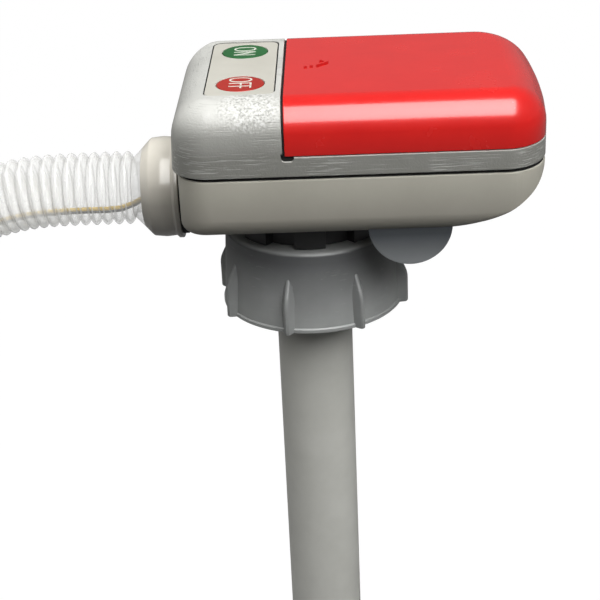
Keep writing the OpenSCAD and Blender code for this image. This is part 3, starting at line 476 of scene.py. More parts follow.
def sideBox(side, low, high, edge):
    # box given for the back, or its mirror image at the front
    near, far = sorted((side * low[1], side * high[1]))
    return boxShape((low[0], near, low[2]), (high[0], far, high[2]), edge)


def roundUprights(bm, radius, steps, test=None):
    upright = [e for e in bm.edges if abs(e.verts[0].co.z - e.verts[1].co.z) > tiny]
    if test:
        upright = [e for e in upright if test(e.verts[0].co)]
    roundEdges(bm, upright, radius, steps)


def levelEdges(bm, z):
    return [e for e in bm.edges if all(abs(v.co.z - z * mm) < tiny for v in e.verts)]


endStrips = range(-15, 16, 5)


def stripEnd(bm, fromX):
    # upright strips across the flat of the right end, so that it can be bowed
    for y in endStrips:
        found = []
        for f in bm.faces:
            ys = [v.co.y / mm for v in f.verts]
            if abs(f.normal.z) < 0.9999 and f.calc_center_median().x > fromX * mm and min(ys) < y < max(ys):
                found.append(f)
        parts = {part for f in found for part in (f, *f.edges, *f.verts)}
        bmesh.ops.bisect_plane(bm, geom=list(parts), dist=weld, plane_co=(0, y * mm, 0), plane_no=(0, 1, 0))


def roundCorners(bm, inset, spec):
    # the front right corner is tighter than the back one
    roundUprights(bm, spec["leftRadius"] - inset, 14, lambda co: co.x < 0)
    roundUprights(bm, spec["rightRadius"] - inset, 16, lambda co: co.x > 0 and co.y > 0)
    roundUprights(bm, spec["frontRadius"] - inset, 16, lambda co: co.x > 0 and co.y < 0)


def mouldedBox(low, high, inset, spec, edgeRadius, atTop):
    # block with rounded upright corners and one rounded rim
    bm = boxShape(low, high)
    roundCorners(bm, inset, spec)
    roundEdges(bm, levelEdges(bm, high[2] if atTop else low[2]), edgeRadius, 12)
    stripEnd(bm, high[0] - (spec["rightRadius"] - inset))
    return bm


def cutLine(bm, point, normal):
    bmesh.ops.bisect_plane(bm, geom=everything(bm), dist=weld, plane_co=Vector(point) * mm, plane_no=normal)


def trim(bm, point, normal, close=False):
    # everything on the normal's side goes
    cut = bmesh.ops.bisect_plane(bm, geom=everything(bm), dist=weld, plane_co=Vector(point) * mm,
        plane_no=normal, clear_outer=True)["geom_cut"]
    if close:
        bmesh.ops.edgeloop_fill(bm, edges=[e for e in cut if isinstance(e, bmesh.types.BMEdge)])


def breakEdges(bm, size, least=50, test=None):
    # small rounding along the sharp edges
    found = [e for e in bm.edges if len(e.link_faces) == 2 and e.calc_face_angle() > math.radians(least)]
    if test:
        found = [e for e in found if all(test(v.co / mm) for v in e.verts)]
    roundEdges(bm, found, size, 2, True)


def join(bm, *others):
    for other in others:
        mesh = bpy.data.meshes.new("joined")
        other.to_mesh(mesh)
        other.free()
        bm.from_mesh(mesh)
        bpy.data.meshes.remove(mesh)


def cutBy(bm, *tools):
    # takes closed shapes out of a closed shape
    things = []
    for part in (bm, *tools):
        mesh = bpy.data.meshes.new("cut")
        part.to_mesh(mesh)
        part.free()
        things.append(newObject("cut", mesh))
    for tool in things[1:]:
        step = things[0].modifiers.new("cut", "BOOLEAN")
        step.object, step.operation, step.solver = tool, "DIFFERENCE", "EXACT"
    result = bmesh.new()
    result.from_object(things[0], bpy.context.evaluated_depsgraph_get())
    for thing in things:
        mesh = thing.data
        bpy.data.objects.remove(thing)
        bpy.data.meshes.remove(mesh)
    return result


def rodShape(radius, low, high, place=(0, 0), sides=64):
    bm = bmesh.new()
    bmesh.ops.create_cone(bm, cap_ends=True, segments=sides, radius1=radius * mm, radius2=radius * mm,
        depth=(high - low) * mm)
    moveBy(bm, (*place, (low + high) / 2))
    return bm


def spinRound(bm, turns, steps, axis=(0, 0, 1), **options):
    bmesh.ops.spin(bm, geom=everything(bm), cent=(0, 0, 0), axis=axis, angle=2 * math.pi * turns,
        steps=steps, **options)


def dropFaces(bm, test):
    bmesh.ops.delete(bm, geom=[f for f in bm.faces if test(f)], context="FACES")


def closeLoop(bm, ring):
    for a, b in zip(ring, ring[1:] + ring[:1]):
        bm.edges.new((a, b))


def spun(points, steps=96, place=(0, 0)):
    # closed outline of (radius, height) turned round an upright axis
    bm = bmesh.new()
    closeLoop(bm, [bm.verts.new(Vector((r, 0, z)) * mm) for r, z in points])
    spinRound(bm, 1, steps, use_merge=True)
    bmesh.ops.remove_doubles(bm, verts=bm.verts[:], dist=weld)
    fixNormals(bm)
    moveBy(bm, (*place, 0))
    return bm


def curveShape(name, curve):
    # mesh of a text or a curve, which itself goes again
    draft = newObject(name + "Draft", curve)
    bm = bmesh.new()
    bm.from_mesh(draft.to_mesh())
    bpy.data.objects.remove(draft)
    bpy.data.curves.remove(curve)
    return bm


def ease(f):
    f = min(max(f, 0), 1)
    return f * f * (3 - 2 * f)


# head casings

head = {"left": -42.3, "right": 76.2, "half": 38.9, "leftRadius": 12.2, "rightRadius": 19.0,
    "frontRadius": 13.5, "topRadius": 10.0, "leftEnd": 12.7, "rightEnd": 12.6, "lean": 0.04, "bow": 2.9,
    "bowStart": 40.0, "bottom": 18.3, "seam": 39.3, "rim": 45.8, "top": 62.8, "wall": 2.0, "block": -7.0}


def bowEnd(bm):
    # the right end stands out a little towards its middle
    for v in bm.verts:
        along = max(v.co.x / mm - head["bowStart"], 0) / (head["right"] - head["bowStart"])
        v.co.x -= head["bow"] * (v.co.y / mm / head["half"]) ** 2 * along ** 2 * mm


def softenEnds(bm, inset):
    # both ends have a larger top rounding than the sides, and the left wall leans in
    top, radius = head["top"] - inset, head["topRadius"] - inset
    for v in bm.verts:
        x, y, z = v.co / mm
        way, side = (-1, "left") if x < 0 else (1, "right")
        corner = head["frontRadius"] if x >= 0 and y <= 0 else head[side + "Radius"]
        past = way * x - way * head[side] + corner
        if past > 0 and z > top - radius - tiny / mm:
            across = max(abs(y) - head["half"] + corner, 0)
            reach = math.hypot(past, across)
            more = (head[side + "End"] - head["topRadius"]) * (past / reach) ** 2
            rise = 1 - (top - z) / radius
            inward = more * (1 - math.sqrt(max(1 - rise * rise, 0)))
            v.co = Vector((x - way * inward * past / reach, y - math.copysign(inward * across / reach, y),
                z - more * (1 - rise))) * mm
        if x < head["block"]:
            share = (head["block"] - x) / (head["block"] - head["left"])
            v.co.x += head["lean"] * max(z - head["seam"], 0) * share * mm


def headBlock(inset, low):
    bm = mouldedBox((head["left"] + inset, inset - head["half"], low),
        (head["right"] - inset, head["half"] - inset, head["top"] - inset), inset, head,
        head["topRadius"] - inset, True)
    softenEnds(bm, inset)
    bowEnd(bm)
    return bm


cover = {"start": -6.3, "low": 46.1, "edge": 0.35,
    "lip": {"x": (15.4, 55.5), "y": (35.3, 37.1), "height": 1.4, "edge": 0.2}}


def makeCover():
    bm = headBlock(0, head["seam"])
    trim(bm, (cover["start"], 0, 0), (-1, 0, 0))
    trim(bm, (0, 0, cover["low"]), (0, 0, -1))
    thicken(bm, head["wall"])
    breakEdges(bm, cover["edge"])
    lip = cover["lip"]
    (x0, x1), (y0, y1) = lip["x"], lip["y"]
    for side in (-1, 1):
        join(bm, sideBox(side, (x0, y0, cover["low"]), (x1, y1, cover["low"] + lip["height"]), lip["edge"]))
    addPiece("coverShell", bm, "coverRed", "cover", ["battery_cover"], even=True)


upper = {"foot": 0.6, "edge": 0.6, "gapShadowDrop": 0.6, "inset": 1.8, "deck": (43.6, 45.2), "sink": 0.5,
    "notch": {"low": (-7.5, -40.0, 44.3), "high": (-3.4, -30.0, 47.0), "round": 1.3, "margin": 0.1,
        "edge": 0.3, "edgeTop": 45.1},
    "pad": {"x": -19.9, "size": (22.4, 56.2), "radius": 3.2, "depth": 1.7},
    "hood": {"low": (-8.0, -13.9), "high": (13.9, 13.9), "top": 59.5, "edge": 0.5},
    "tray": {"x": (15.4, 70.4), "half": 29.6, "thick": 1.5, "top": 52.2, "gap": 8.0, "edge": 0.3},
    "rail": {"x": (15.4, 55.5), "near": 33.6, "far": 35.0, "lip": 36.6, "lipLow": 47.8, "top": 49.2,
        "edge": 0.2}}


def notchShape():
    # small round-bottomed slot in the rim, below the cover's corner
    spec = upper["notch"]
    bm = boxShape(spec["low"], spec["high"])
    foot = [e for e in levelEdges(bm, spec["low"][2]) if abs(e.verts[0].co.x - e.verts[1].co.x) < tiny]
    roundEdges(bm, foot, spec["round"], 5)
    return bm


def openInUpper(face):
    # the underside, and what the cover takes the place of
    centre = face.calc_center_median() / mm
    return abs(face.normal.z + 1) < 0.01 or (centre.x > head["block"] and centre.z > head["rim"])


def upperShape():
    bm = headBlock(0, head["seam"])
    roundEdges(bm, levelEdges(bm, head["seam"]), upper["foot"], 2)
    cutLine(bm, (head["block"], 0, 0), (1, 0, 0))
    cutLine(bm, (0, 0, head["rim"]), (0, 0, 1))
    dropFaces(bm, openInUpper)
    thicken(bm, head["wall"])
    breakEdges(bm, upper["edge"])
    spec, notch = upper["pad"], upper["notch"]
    x, (w, l) = spec["x"], spec["size"]
    recess = boxShape((x - w / 2, -l / 2, head["top"] - spec["depth"]), (x + w / 2, l / 2, head["top"] + 1))
    roundUprights(recess, spec["radius"], 8)
    bm = cutBy(bm, recess, notchShape())
    x0, x1 = notch["low"][0] - notch["margin"], notch["high"][0] + notch["margin"]
    breakEdges(bm, notch["edge"], 40,
        lambda p: x0 < p.x < x1 and p.y < 0.01 - head["half"] and p.z < notch["edgeTop"])
    return bm


def makeUpper():
    bm = upperShape()
    # partition, deck, motor hood, cell tray and guide rails behind the cover
    low, high = upper["deck"]
    foot = high - upper["sink"]
    for point, normal in (((head["block"], 0, 0), (1, 0, 0)), ((0, 0, high), (0, 0, 1))):
        plate = headBlock(upper["inset"], low)
        trim(plate, point, normal, True)
        trim(plate, (head["block"] - head["wall"], 0, 0), (-1, 0, 0), True)
        join(bm, cutBy(plate, notchShape()))
    hood = upper["hood"]
    join(bm, boxShape((*hood["low"], low), (*hood["high"], hood["top"]), hood["edge"]))
    tray = upper["tray"]
    (x0, x1), half, thick, gap, edge = (tray[k] for k in ("x", "half", "thick", "gap", "edge"))
    for side in (-1, 1):
        join(bm, sideBox(side, (x0 - thick, half, foot), (x1 - gap, half + thick, tray["top"]), edge))
    join(bm, boxShape((x0 - thick, -half, foot), (x0, half, tray["top"]), edge),
        boxShape((x1, -half + gap, foot), (x1 + thick, half - gap, tray["top"]), edge))
    rail = upper["rail"]
    (x0, x1), near, top, edge = (rail[k] for k in ("x", "near", "top", "edge"))
    for side in (-1, 1):
        join(bm, sideBox(side, (x0, near, foot), (x1, rail["far"], top), edge),
            sideBox(side, (x0, near, rail["lipLow"]), (x1, rail["lip"], top), edge))
    addPiece("upperShell", bm, "upperGrey", "pump", ["upper_casing"], even=True)


lower = {"left": -40.6, "right": 76.1, "half": 38.3, "leftRadius": 11.0, "rightRadius": 18.4,
    "frontRadius": 12.9, "bottomRadius": 7.0, "leftFoot": 3.8, "leftFrom": (-18.0, -32.0), "lip": 38.2,
    "chamfer": 0.5, "groove": 1.0, "sweep": 60.0, "turn": 36.0, "end": 11.0, "blend": 2.0, "endWall": 1.0,
    "sweepFrom": 34, "sweepStep": 2, "sweepCuts": 18, "sweepBelow": 35, "neck": 16.3,
    "outlet": {"height": 22.4, "radius": 10.8, "start": -20.0, "length": 24.0, "slotEnd": -10.0},
    "screws": [(-25.9, 26, 19.3), (-25.9, -26, 19.3), (50, 26, 21.4), (50, -26, 21.4)],
    "boss": {"head": 2.9, "seat": 2.0, "shank": 1.55, "outer": 4.2, "top": 39.0, "sunk": (1.0, 0.2)},
    "tab": {"place": (32.0, -35.6, 20.4), "radius": 13.3, "thick": 2.2, "root": 0.8, "edge": 0.4}}


def sweepFloor(x, inset):
    # height of the swept-up bottom: a long arc that turns into the end through a tighter one
    long, short, turn = lower["sweep"], lower["end"], math.radians(lower["turn"])
    startX = lower["right"] - short - (long - short) * math.sin(turn)
    shortZ = head["bottom"] + long - (long - short) * math.cos(turn)
    if x <= startX:
        return head["bottom"] + inset
    if x <= startX + (long - inset) * math.sin(turn):
        return head["bottom"] + long - math.sqrt((long - inset) ** 2 - (x - startX) ** 2)
    across = min(x - lower["right"] + short, short - inset)
    return shortZ - math.sqrt(max((short - inset) ** 2 - across ** 2, 0))


def sweepUp(bm, inset):
    for k in range(lower["sweepCuts"]):
        cutLine(bm, (lower["sweepFrom"] + lower["sweepStep"] * k, 0, 0), (1, 0, 0))
    for v in bm.verts:
        x, z = v.co.x / mm, v.co.z / mm
        if x < lower["sweepFrom"] - 1 or z > lower["sweepBelow"]:
            continue
        floor = min(sweepFloor(x, inset), lower["lip"] - lower["endWall"])
        soft = min(lower["blend"], z - head["bottom"] - inset)
        near = max(soft - abs(z - floor), 0) / soft if soft > tiny else 0
        v.co.z = (max(z, floor) + near * near * soft / 4) * mm


def squareLeft(bm):
    # the left end stands on a tighter rounding than the other sides
    wide, tight = lower["bottomRadius"], lower["leftFoot"]
    start, full = lower["leftFrom"]
    for v in bm.verts:
        x, high = v.co.x / mm, v.co.z / mm - head["bottom"]
        if x > start or high > wide:
            continue
        inWide = wide - math.sqrt(wide ** 2 - (wide - high) ** 2)
        inTight = tight - math.sqrt(tight ** 2 - max(tight - high, 0) ** 2)
        v.co.x -= ease((x - start) / (full - start)) * (inWide - inTight) * mm


def lowerBlock(inset, high):
    return mouldedBox((lower["left"] + inset, inset - lower["half"], head["bottom"] + inset),
        (lower["right"] - inset, lower["half"] - inset, high), inset, lower,
        lower["bottomRadius"] - inset, False)


def makeTab():
    # half-round tab under the front edge, in a darker copy of the casing grey that paints the casing's shadow
    # on it
    tab = lower["tab"]
    plate = rodShape(tab["radius"], 0, tab["thick"], sides=96)
    turnBy(plate, -90, "X")
    trim(plate, (0, 0, tab["root"]), (0, 0, 1), True)
    breakEdges(plate, tab["edge"])
    moveBy(plate, tab["place"])
    addPiece("frontTab", plate, "tabShadowGrey", "pump", even=True)


def makeLower():
    bm = lowerBlock(0, lower["lip"])
    roundEdges(bm, levelEdges(bm, lower["lip"]), lower["chamfer"], 2)
    lid = [f for f in bm.faces if f.normal.z > 0.99]
    bmesh.ops.inset_region(bm, faces=lid, thickness=(lower["groove"] - lower["chamfer"]) * mm,
        use_even_offset=True)
    lid = [f for f in bm.faces if f.normal.z > 0.99 and f.calc_area() > 1e-3]
    extrudeUp(bm, lid, head["seam"] - lower["lip"])
    bmesh.ops.delete(bm, geom=lid, context="FACES_ONLY")
    sweepUp(bm, 0)
    squareLeft(bm)
    bowEnd(bm)
    hollow = lowerBlock(head["wall"], head["seam"] + 1)
    sweepUp(hollow, head["wall"])
    bowEnd(hollow)
    outlet, boss, under = lower["outlet"], lower["boss"], head["bottom"] - 1
    z, r = outlet["height"], outlet["radius"]
    neck = rodShape(lower["neck"], under, head["bottom"] + 3)
    branch = rodShape(r, 0, outlet["length"])
    turnBy(branch, -90, "Y")
    moveBy(branch, (outlet["start"], 0, z))
    slot = boxShape((outlet["start"] - outlet["length"], -r, under), (outlet["slotEnd"], r, z))
    holes = [rodShape(boss["head"], under, s[2] + boss["seat"], s[:2], 40) for s in lower["screws"]]
    bm = cutBy(bm, hollow, neck, branch, slot, *holes)
    for x, y, z in lower["screws"]:
        seat, top, (inSunk, outSunk) = z + boss["seat"], boss["top"], boss["sunk"]
        join(bm, spun([(boss["head"], z - inSunk), (boss["head"], seat), (boss["shank"], seat),
            (boss["shank"], top), (boss["outer"], top), (boss["outer"], z - outSunk)], 32, (x, y)))
    makeTab()
    addPiece("lowerShell", bm, "lowerGrey", "pump", ["lower_casing"], even=True)


seamShadow = {"out": 0.45, "gap": 0.05, "thick": 0.4}


def makeSeamShadow():
    # black strip painted as the shade in the gap between the two casings, where it shows as the line between
    # them
    inset, gap = lower["groove"] - seamShadow["out"], seamShadow["gap"]
    bm = boxShape((lower["left"] + inset, inset - lower["half"], lower["lip"] + gap),
        (lower["right"] - inset, lower["half"] - inset, head["seam"] - gap))
    roundCorners(bm, inset, lower)
    stripEnd(bm, lower["right"] - lower["rightRadius"])
    bowEnd(bm)
    dropFaces(bm, lambda f: abs(f.normal.z) > 0.9)
    thicken(bm, seamShadow["thick"])
    addPiece("seamShadowStrip", bm, "blackRubberAndShade", "pump")


blockGapShadow = {"gaps": (0.02, 0.03), "thick": 1.0, "footX": (0.3, -0.1), "footY": (0.9, 2.2), "footZ": 0.05}


def makeBlockGapShadow():
    # black strip painted as the shade in the gap between the switch block and the cover, and its foot painted
    # as the shade behind the notch
    bm = headBlock(upper["gapShadowDrop"], head["rim"])
    trim(bm, (head["block"] + blockGapShadow["gaps"][0], 0, 0), (-1, 0, 0))
    trim(bm, (cover["start"] - blockGapShadow["gaps"][1], 0, 0), (1, 0, 0))
    dropFaces(bm, lambda f: f.normal.z < -0.9)
    thicken(bm, blockGapShadow["thick"])
    low, high = upper["notch"]["low"], upper["notch"]["high"]
    (x0, x1), (y0, y1) = blockGapShadow["footX"], blockGapShadow["footY"]
    join(bm, boxShape((low[0] + x0, y0 - head["half"], low[2] + blockGapShadow["footZ"]),
        (high[0] + x1, y1 - head["half"], head["rim"])))
    addPiece("blockGapShadow", bm, "blackRubberAndShade", "pump")


makeCover()
makeUpper()
makeLower()
makeSeamShadow()
makeBlockGapShadow()
print("casings made")

# outlet collar, and a black ring painted as the shade between it and the casing

outlet = {"start": -42.4, "axis": 22.4, "bore": 10.55, "ring": (15.9, -1.7, 0.1),
    "outline": [(17.3, 0, 0.25), (17.3, 1.4, 0.3), (16.45, 2.3, 0.5), (16.8, 5.6, 9.0), (16.35, 9.8, 1.5),
        (13.4, 12.6, 0.4)]}


def rounded(corners, steps=6):
    # open outline whose inner corners (x, y, radius) are turned into arcs
    points = []
    for k, (x, y, radius) in enumerate(corners):
        if not radius:
            points.append((x, y))
            continue
        here = Vector((x, y))
        before, after = Vector(corners[k - 1][:2]) - here, Vector(corners[k + 1][:2]) - here
        reach = min(radius / math.tan(before.angle(after) / 2), before.length * 0.48, after.length * 0.48)
        a, b = here + before.normalized() * reach, here + after.normalized() * reach
        for i in range(steps + 1):
            t = i / steps
            points.append(tuple(a * (1 - t) ** 2 + here * (2 * t * (1 - t)) + b * t * t))
    return points


def onOutlet(outline):
    bm = spun(outline)
    turnBy(bm, -90, "Y")
    moveBy(bm, (outlet["start"], 0, outlet["axis"]))
    return bm


def makeOutlet():
    bore, end = outlet["bore"], outlet["outline"][-1][1]
    line = rounded([(bore, 0, 0), *outlet["outline"], (bore, end, 0)])
    addPiece("collarRing", onOutlet(line), "collarBeige", "pump", ["outlet_collar"])
    # black ring painted as the shade in the gap behind the collar
    radius, low, high = outlet["ring"]
    band = [(bore, low), (radius, low), (radius, high), (bore, high)]
    addPiece("outletShadowRing", onOutlet(band), "blackRubberAndShade", "pump")


makeOutlet()
print("outlet made")

# switch pad, keys and their lettering

keys = {"x": -19.9, "top": 62.8, "radius": 7.45, "thick": 1.0, "dish": 0.12, "stem": (3.0, 57.7),
    "flange": (4.5, 58.3, 59.3), "edge": 0.25, "letter": 7.4, "weight": -0.018, "raise": 0.06, "sink": -0.3,
    "on": {"y": 17.0, "text": "ON", "length": 8.6, "shift": 0.4, "finish": "keyGreen", "slot": "key_green"},
    "off": {"y": -17.0, "text": "OFF", "length": 10.2, "shift": 0.8, "finish": "keyRed", "slot": "key_red"}}
pad = {"size": (21.6, 55.1), "shift": -0.4, "radius": 2.8, "thick": 1.6, "hole": 7.7, "holeSpan": (60, 64),
    "edge": 0.3, "padShadowDrop": 0.25, "padShadowGap": 0.02}


def padBlock(size, radius, y, low, high, inset=0):
    (w, l), x = size, keys["x"]
    bm = boxShape((x - w / 2 + inset, y + inset - l / 2, low), (x + w / 2 - inset, y + l / 2 - inset, high))
    roundUprights(bm, radius, 8)
    return bm


def makePad():
    top, low = keys["top"], keys["top"] - pad["thick"]
    holes = [rodShape(pad["hole"], *pad["holeSpan"], (keys["x"], keys[k]["y"]), 72) for k in ("on", "off")]
    bm = cutBy(padBlock(pad["size"], pad["radius"], pad["shift"], low, top), *holes)
    breakEdges(bm, pad["edge"], 50, lambda p: p.z > top - 0.01)
    addPiece("padPlate", bm, "padGrey", "pump", ["switch_pad"], even=True)
    # black strip painted as the shade in the groove round the pad
    high, gap, groove = top - pad["padShadowDrop"], pad["padShadowGap"], upper["pad"]
    bm = cutBy(padBlock(groove["size"], groove["radius"], 0, low, high, gap),
        padBlock(pad["size"], pad["radius"], pad["shift"], low - 1, high + 1, gap))
    addPiece("padGapShadow", bm, "blackRubberAndShade", "pump", even=True)


def makeKey(word):
    key, top, r, edge = keys[word], keys["top"], keys["radius"], keys["edge"]
    stemR, stemZ = keys["stem"]
    flangeR, flangeLow, flangeHigh = keys["flange"]
    under, dish = top - keys["thick"], keys["dish"]
    arc = [(r - edge + edge * math.cos(a), top - edge + edge * math.sin(a)) for a in (0, 0.5, 1.05, 1.57)]
    hollow = [(r * f, top - dish * (1 - (f / 0.9) ** 2)) for f in (0.75, 0.5, 0.25)]
    outline = [(0, stemZ), (stemR, stemZ), (stemR, flangeLow), (flangeR, flangeLow), (flangeR, flangeHigh),
        (stemR, flangeHigh), (stemR, under), (r, under), *arc, *hollow, (0, top - dish)]
    bm = spun(outline, 72, (keys["x"], key["y"]))
    addPiece(word + "Key", bm, key["finish"], word + "_key", [word + "_button"])


def makeLetters(word):
    key, name = keys[word], word + "Letters"
    curve = bpy.data.curves.new(name, "FONT")
    curve.body = key["text"]
    curve.align_x, curve.align_y = "CENTER", "CENTER"
    curve.size = 1.0
    curve.extrude = 0.02
    curve.offset = keys["weight"]
    bm = curveShape(name, curve)
    xs, ys = [v.co.x for v in bm.verts], [v.co.y for v in bm.verts]
    midX, midY = (min(xs) + max(xs)) / 2, (min(ys) + max(ys)) / 2
    scale = keys["letter"] / (max(ys) - min(ys))
    width = key["length"] / (max(xs) - min(xs))
    for v in bm.verts:  # read from the back edge to the front edge
        across, up = (v.co.x - midX) * width, (v.co.y - midY) * scale
        high = keys["top"] + (keys["raise"] if v.co.z > 0 else keys["sink"])
        v.co = Vector((keys["x"] + up, key["y"] + key["shift"] - across, high)) * mm
    fixNormals(bm)
    addPiece(name, bm, "printWhite", word + "_key")


makePad()
makeKey("on")
makeKey("off")
makeLetters("on")
makeLetters("off")
print("pad and keys made")

# small dashed arrow moulded on the cover: slide this way; its dark strokes are painted shade, standing for
# the shaded sides of a raised arrow

arrow = {"raise": 0.1, "sink": 0.2, "marks": [
    [(-0.1, -1.7), (0.9, -1.7), (0.9, -3.8), (-0.1, -3.8)],
    [(1.8, -1.1), (2.8, -1.1), (2.8, -3.3), (1.8, -3.3)],
    [(3.8, -0.7), (5.9, 0.9), (6.9, 1.9), (7.9, 3.3), (7.7, 0.2), (6.9, -0.6), (5.9, -1.4), (4.0, -3.4)],
    [(4.8, 1.9), (5.1, 4.7), (6.5, 2.8)]]}


def makeArrow():
    bm = bmesh.new()
    for outline in arrow["marks"]:
        bm.faces.new([bm.verts.new(Vector((x, y, head["top"] - arrow["sink"])) * mm) for x, y in outline])
    extrudeUp(bm, bm.faces[:], arrow["raise"] + arrow["sink"])
    fixNormals(bm)
    addPiece("coverArrow", bm, "markShadeRed", "cover")


makeArrow()

# screw cap: skirt, web, leaning grip ribs and the thread inside

cap = {"bottom": -19.0, "top": 8.8, "web": 5.8, "bore": 25.5, "outer": 30.5, "upper": 29.0, "edge": 1.5,
    "bead": 0.4, "beadHigh": 1.2, "beadEdge": 0.2, "beadSink": 0.1, "mouth": 0.8, "neck": 16.3,
    "rib": {"count": 8, "first": -105.0, "nose": 1.0, "spread": 22.0, "out": 2.8, "top": 0.5, "ramp": 8.5,
        "soft": 2.0, "root": 1.2, "lift": 0.1, "footHigh": 0.4, "footBack": 0.3},
    "thread": {"depth": 1.1, "half": 1.3, "crest": 0.35, "root": 0.3, "pitch": 5.0, "turns": 2.2,
        "start": -15.5, "perTurn": 48}}


def ribShape():
    # a round-nosed rib that leans back into the skirt at its top
    rib = cap["rib"]
    spread, nose, soft = math.radians(rib["spread"]), rib["nose"], rib["soft"]
    noseX = cap["outer"] + rib["out"] - nose
    limit = math.pi / 2 - spread
    arc = [-limit + 2 * limit * k / 8 for k in range(9)]
    outline = [(noseX + nose * math.cos(a), nose * math.sin(a)) for a in arc]
    sideX, sideY = outline[-1]
    rootX = cap["bore"] + rib["root"]
    rootY = sideY + (sideX - rootX) * math.tan(spread)
    outline = [(rootX, -rootY), *outline, (rootX, rootY)]
    lean = (rib["out"] + cap["outer"] - cap["upper"]) / rib["ramp"]
    turn = rib["top"] - rib["ramp"]
    foot = cap["bottom"] + rib["lift"]
    heights = [foot, foot + rib["footHigh"], *(turn + soft * k for k in (-1, -0.5, 0, 0.5, 1, 2)), rib["top"]]
    bm = bmesh.new()
    rings = []
    for z in heights:
        over = z - turn
        past = max(over, 0) if abs(over) > soft else (over + soft) ** 2 / (4 * soft)
        back = lean * past + (rib["footBack"] if z == foot else 0)
        ring = []
        for x, y in outline:
            ring.append(bm.verts.new(Vector((max(x - back, rootX) if x > rootX else x, y, z)) * mm))
        rings.append(ring)
    for a, b in zip(rings, rings[1:]):
        for i in range(len(a)):
            k = (i + 1) % len(a)
            bm.faces.new((a[i], a[k], b[k], b[i]))
    bm.faces.new(rings[0])
    bm.faces.new(rings[-1])
    fixNormals(bm)
    return bm


def threadShape():
    thread, bore = cap["thread"], cap["bore"]
    turns, half, crest = thread["turns"], thread["half"], thread["crest"]
    root, tip = bore + thread["root"], bore - thread["depth"]
    profile = [(root, -half), (tip, -crest), (tip, crest), (root, half)]
    bm = bmesh.new()
    closeLoop(bm, [bm.verts.new(Vector((r, 0, thread["start"] + z)) * mm) for r, z in profile])
    steps = int(thread["perTurn"] * turns)
    spinRound(bm, turns, steps, dvec=(0, 0, thread["pitch"] * turns / steps * mm))
    bmesh.ops.holes_fill(bm, edges=[e for e in bm.edges if e.is_boundary])
    fixNormals(bm)
    return bm


def makeCap():
    low, top, edge, bead, rib = (cap[k] for k in ("bottom", "top", "edge", "bead", "rib"))
    bore, neck, web, mouth, bevel = (cap[k] for k in ("bore", "neck", "web", "mouth", "beadEdge"))
    outer, beadTop = cap["outer"], low + cap["beadHigh"]
    arc = [(cap["upper"] - edge + edge * math.cos(a), top - edge + edge * math.sin(a))
        for a in (math.pi / 2 * k / 6 for k in range(7))]
    outline = [(bore + mouth, low), (outer + bead - bevel, low), (outer + bead, low + bevel),
        (outer + bead, beadTop), (outer - cap["beadSink"], beadTop + bead), *arc, (neck, top), (neck, web),
        (bore, web), (bore, low + mouth)]
    bm = spun(outline, 120)
    ribs, count = ribShape(), rib["count"]
    turnBy(ribs, rib["first"], "Z")
    spinRound(ribs, (count - 1) / count, count - 1, use_duplicate=True)
    join(bm, ribs, threadShape())
    addPiece("capShell", bm, "capGrey", "cap", ["screw_cap"])


makeCap()
print("cap made")

# discharge hose: ribbed clear wall along its hanging route

hose = {"ribs": 190, "crest": 12.25, "root": 9.9, "wall": 0.8, "sides": 32, "perRib": 8, "crown": 0.8,
    "route": [(-58.5, 22.4), (-72, 22.4), (-86, 22.4), (-100, 21), (-114, 17), (-130, 10), (-146, -1),
        (-160, -14), (-172, -29), (-182, -46), (-189, -65), (-193, -85), (-195, -106),
        *((-195, z) for z in (-130, -170, -210, -260, -320, -380, -440, -490, -530, -560, -590, -610))]}


def hoseLine(samples=10):
    # uniform cubic B-spline that passes through both end points
    points = [Vector((x, 0, z)) * mm for x, z in hose["route"]]
    ctrl = [2 * points[0] - points[1], *points, 2 * points[-1] - points[-2]]
    line = []
    for i in range(len(points) - 1):
        a, b, c, d = ctrl[i:i + 4]
        for k in range(samples):
            t = k / samples
            line.append(((1 - t) ** 3 * a + (3 * t ** 3 - 6 * t * t + 4) * b
                + (-3 * t ** 3 + 3 * t * t + 3 * t + 1) * c + t ** 3 * d) / 6)
    return line + [points[-1]]


hosePath = hoseLine()
hoseStations = [0.0]
for a, b in zip(hosePath, hosePath[1:]):
    hoseStations.append(hoseStations[-1] + (b - a).length)
hoseLength = hoseStations[-1]


def onHose(s):
    if s <= 0:
        return hosePath[0] + Vector((-s, 0, 0))
    if s >= hoseLength:
        return hosePath[-1] + Vector((0, 0, hoseLength - s))
    low, high = 0, len(hoseStations) - 1
    while high - low > 1:
        middle = (low + high) // 2
        if hoseStations[middle] <= s:
            low = middle
        else:
            high = middle
    f = (s - hoseStations[low]) / (hoseStations[high] - hoseStations[low])
    return hosePath[low].lerp(hosePath[high], f)


def hoseUp(s):
    # the upward side at a length along the hose
    if s <= 0:
        ahead = Vector((-1, 0, 0))
    elif s >= hoseLength:
        ahead = Vector((0, 0, -1))
    else:
        ahead = (onHose(s + 2 * mm) - onHose(s - 2 * mm)).normalized()
    return Vector((0, 1, 0)).cross(ahead)


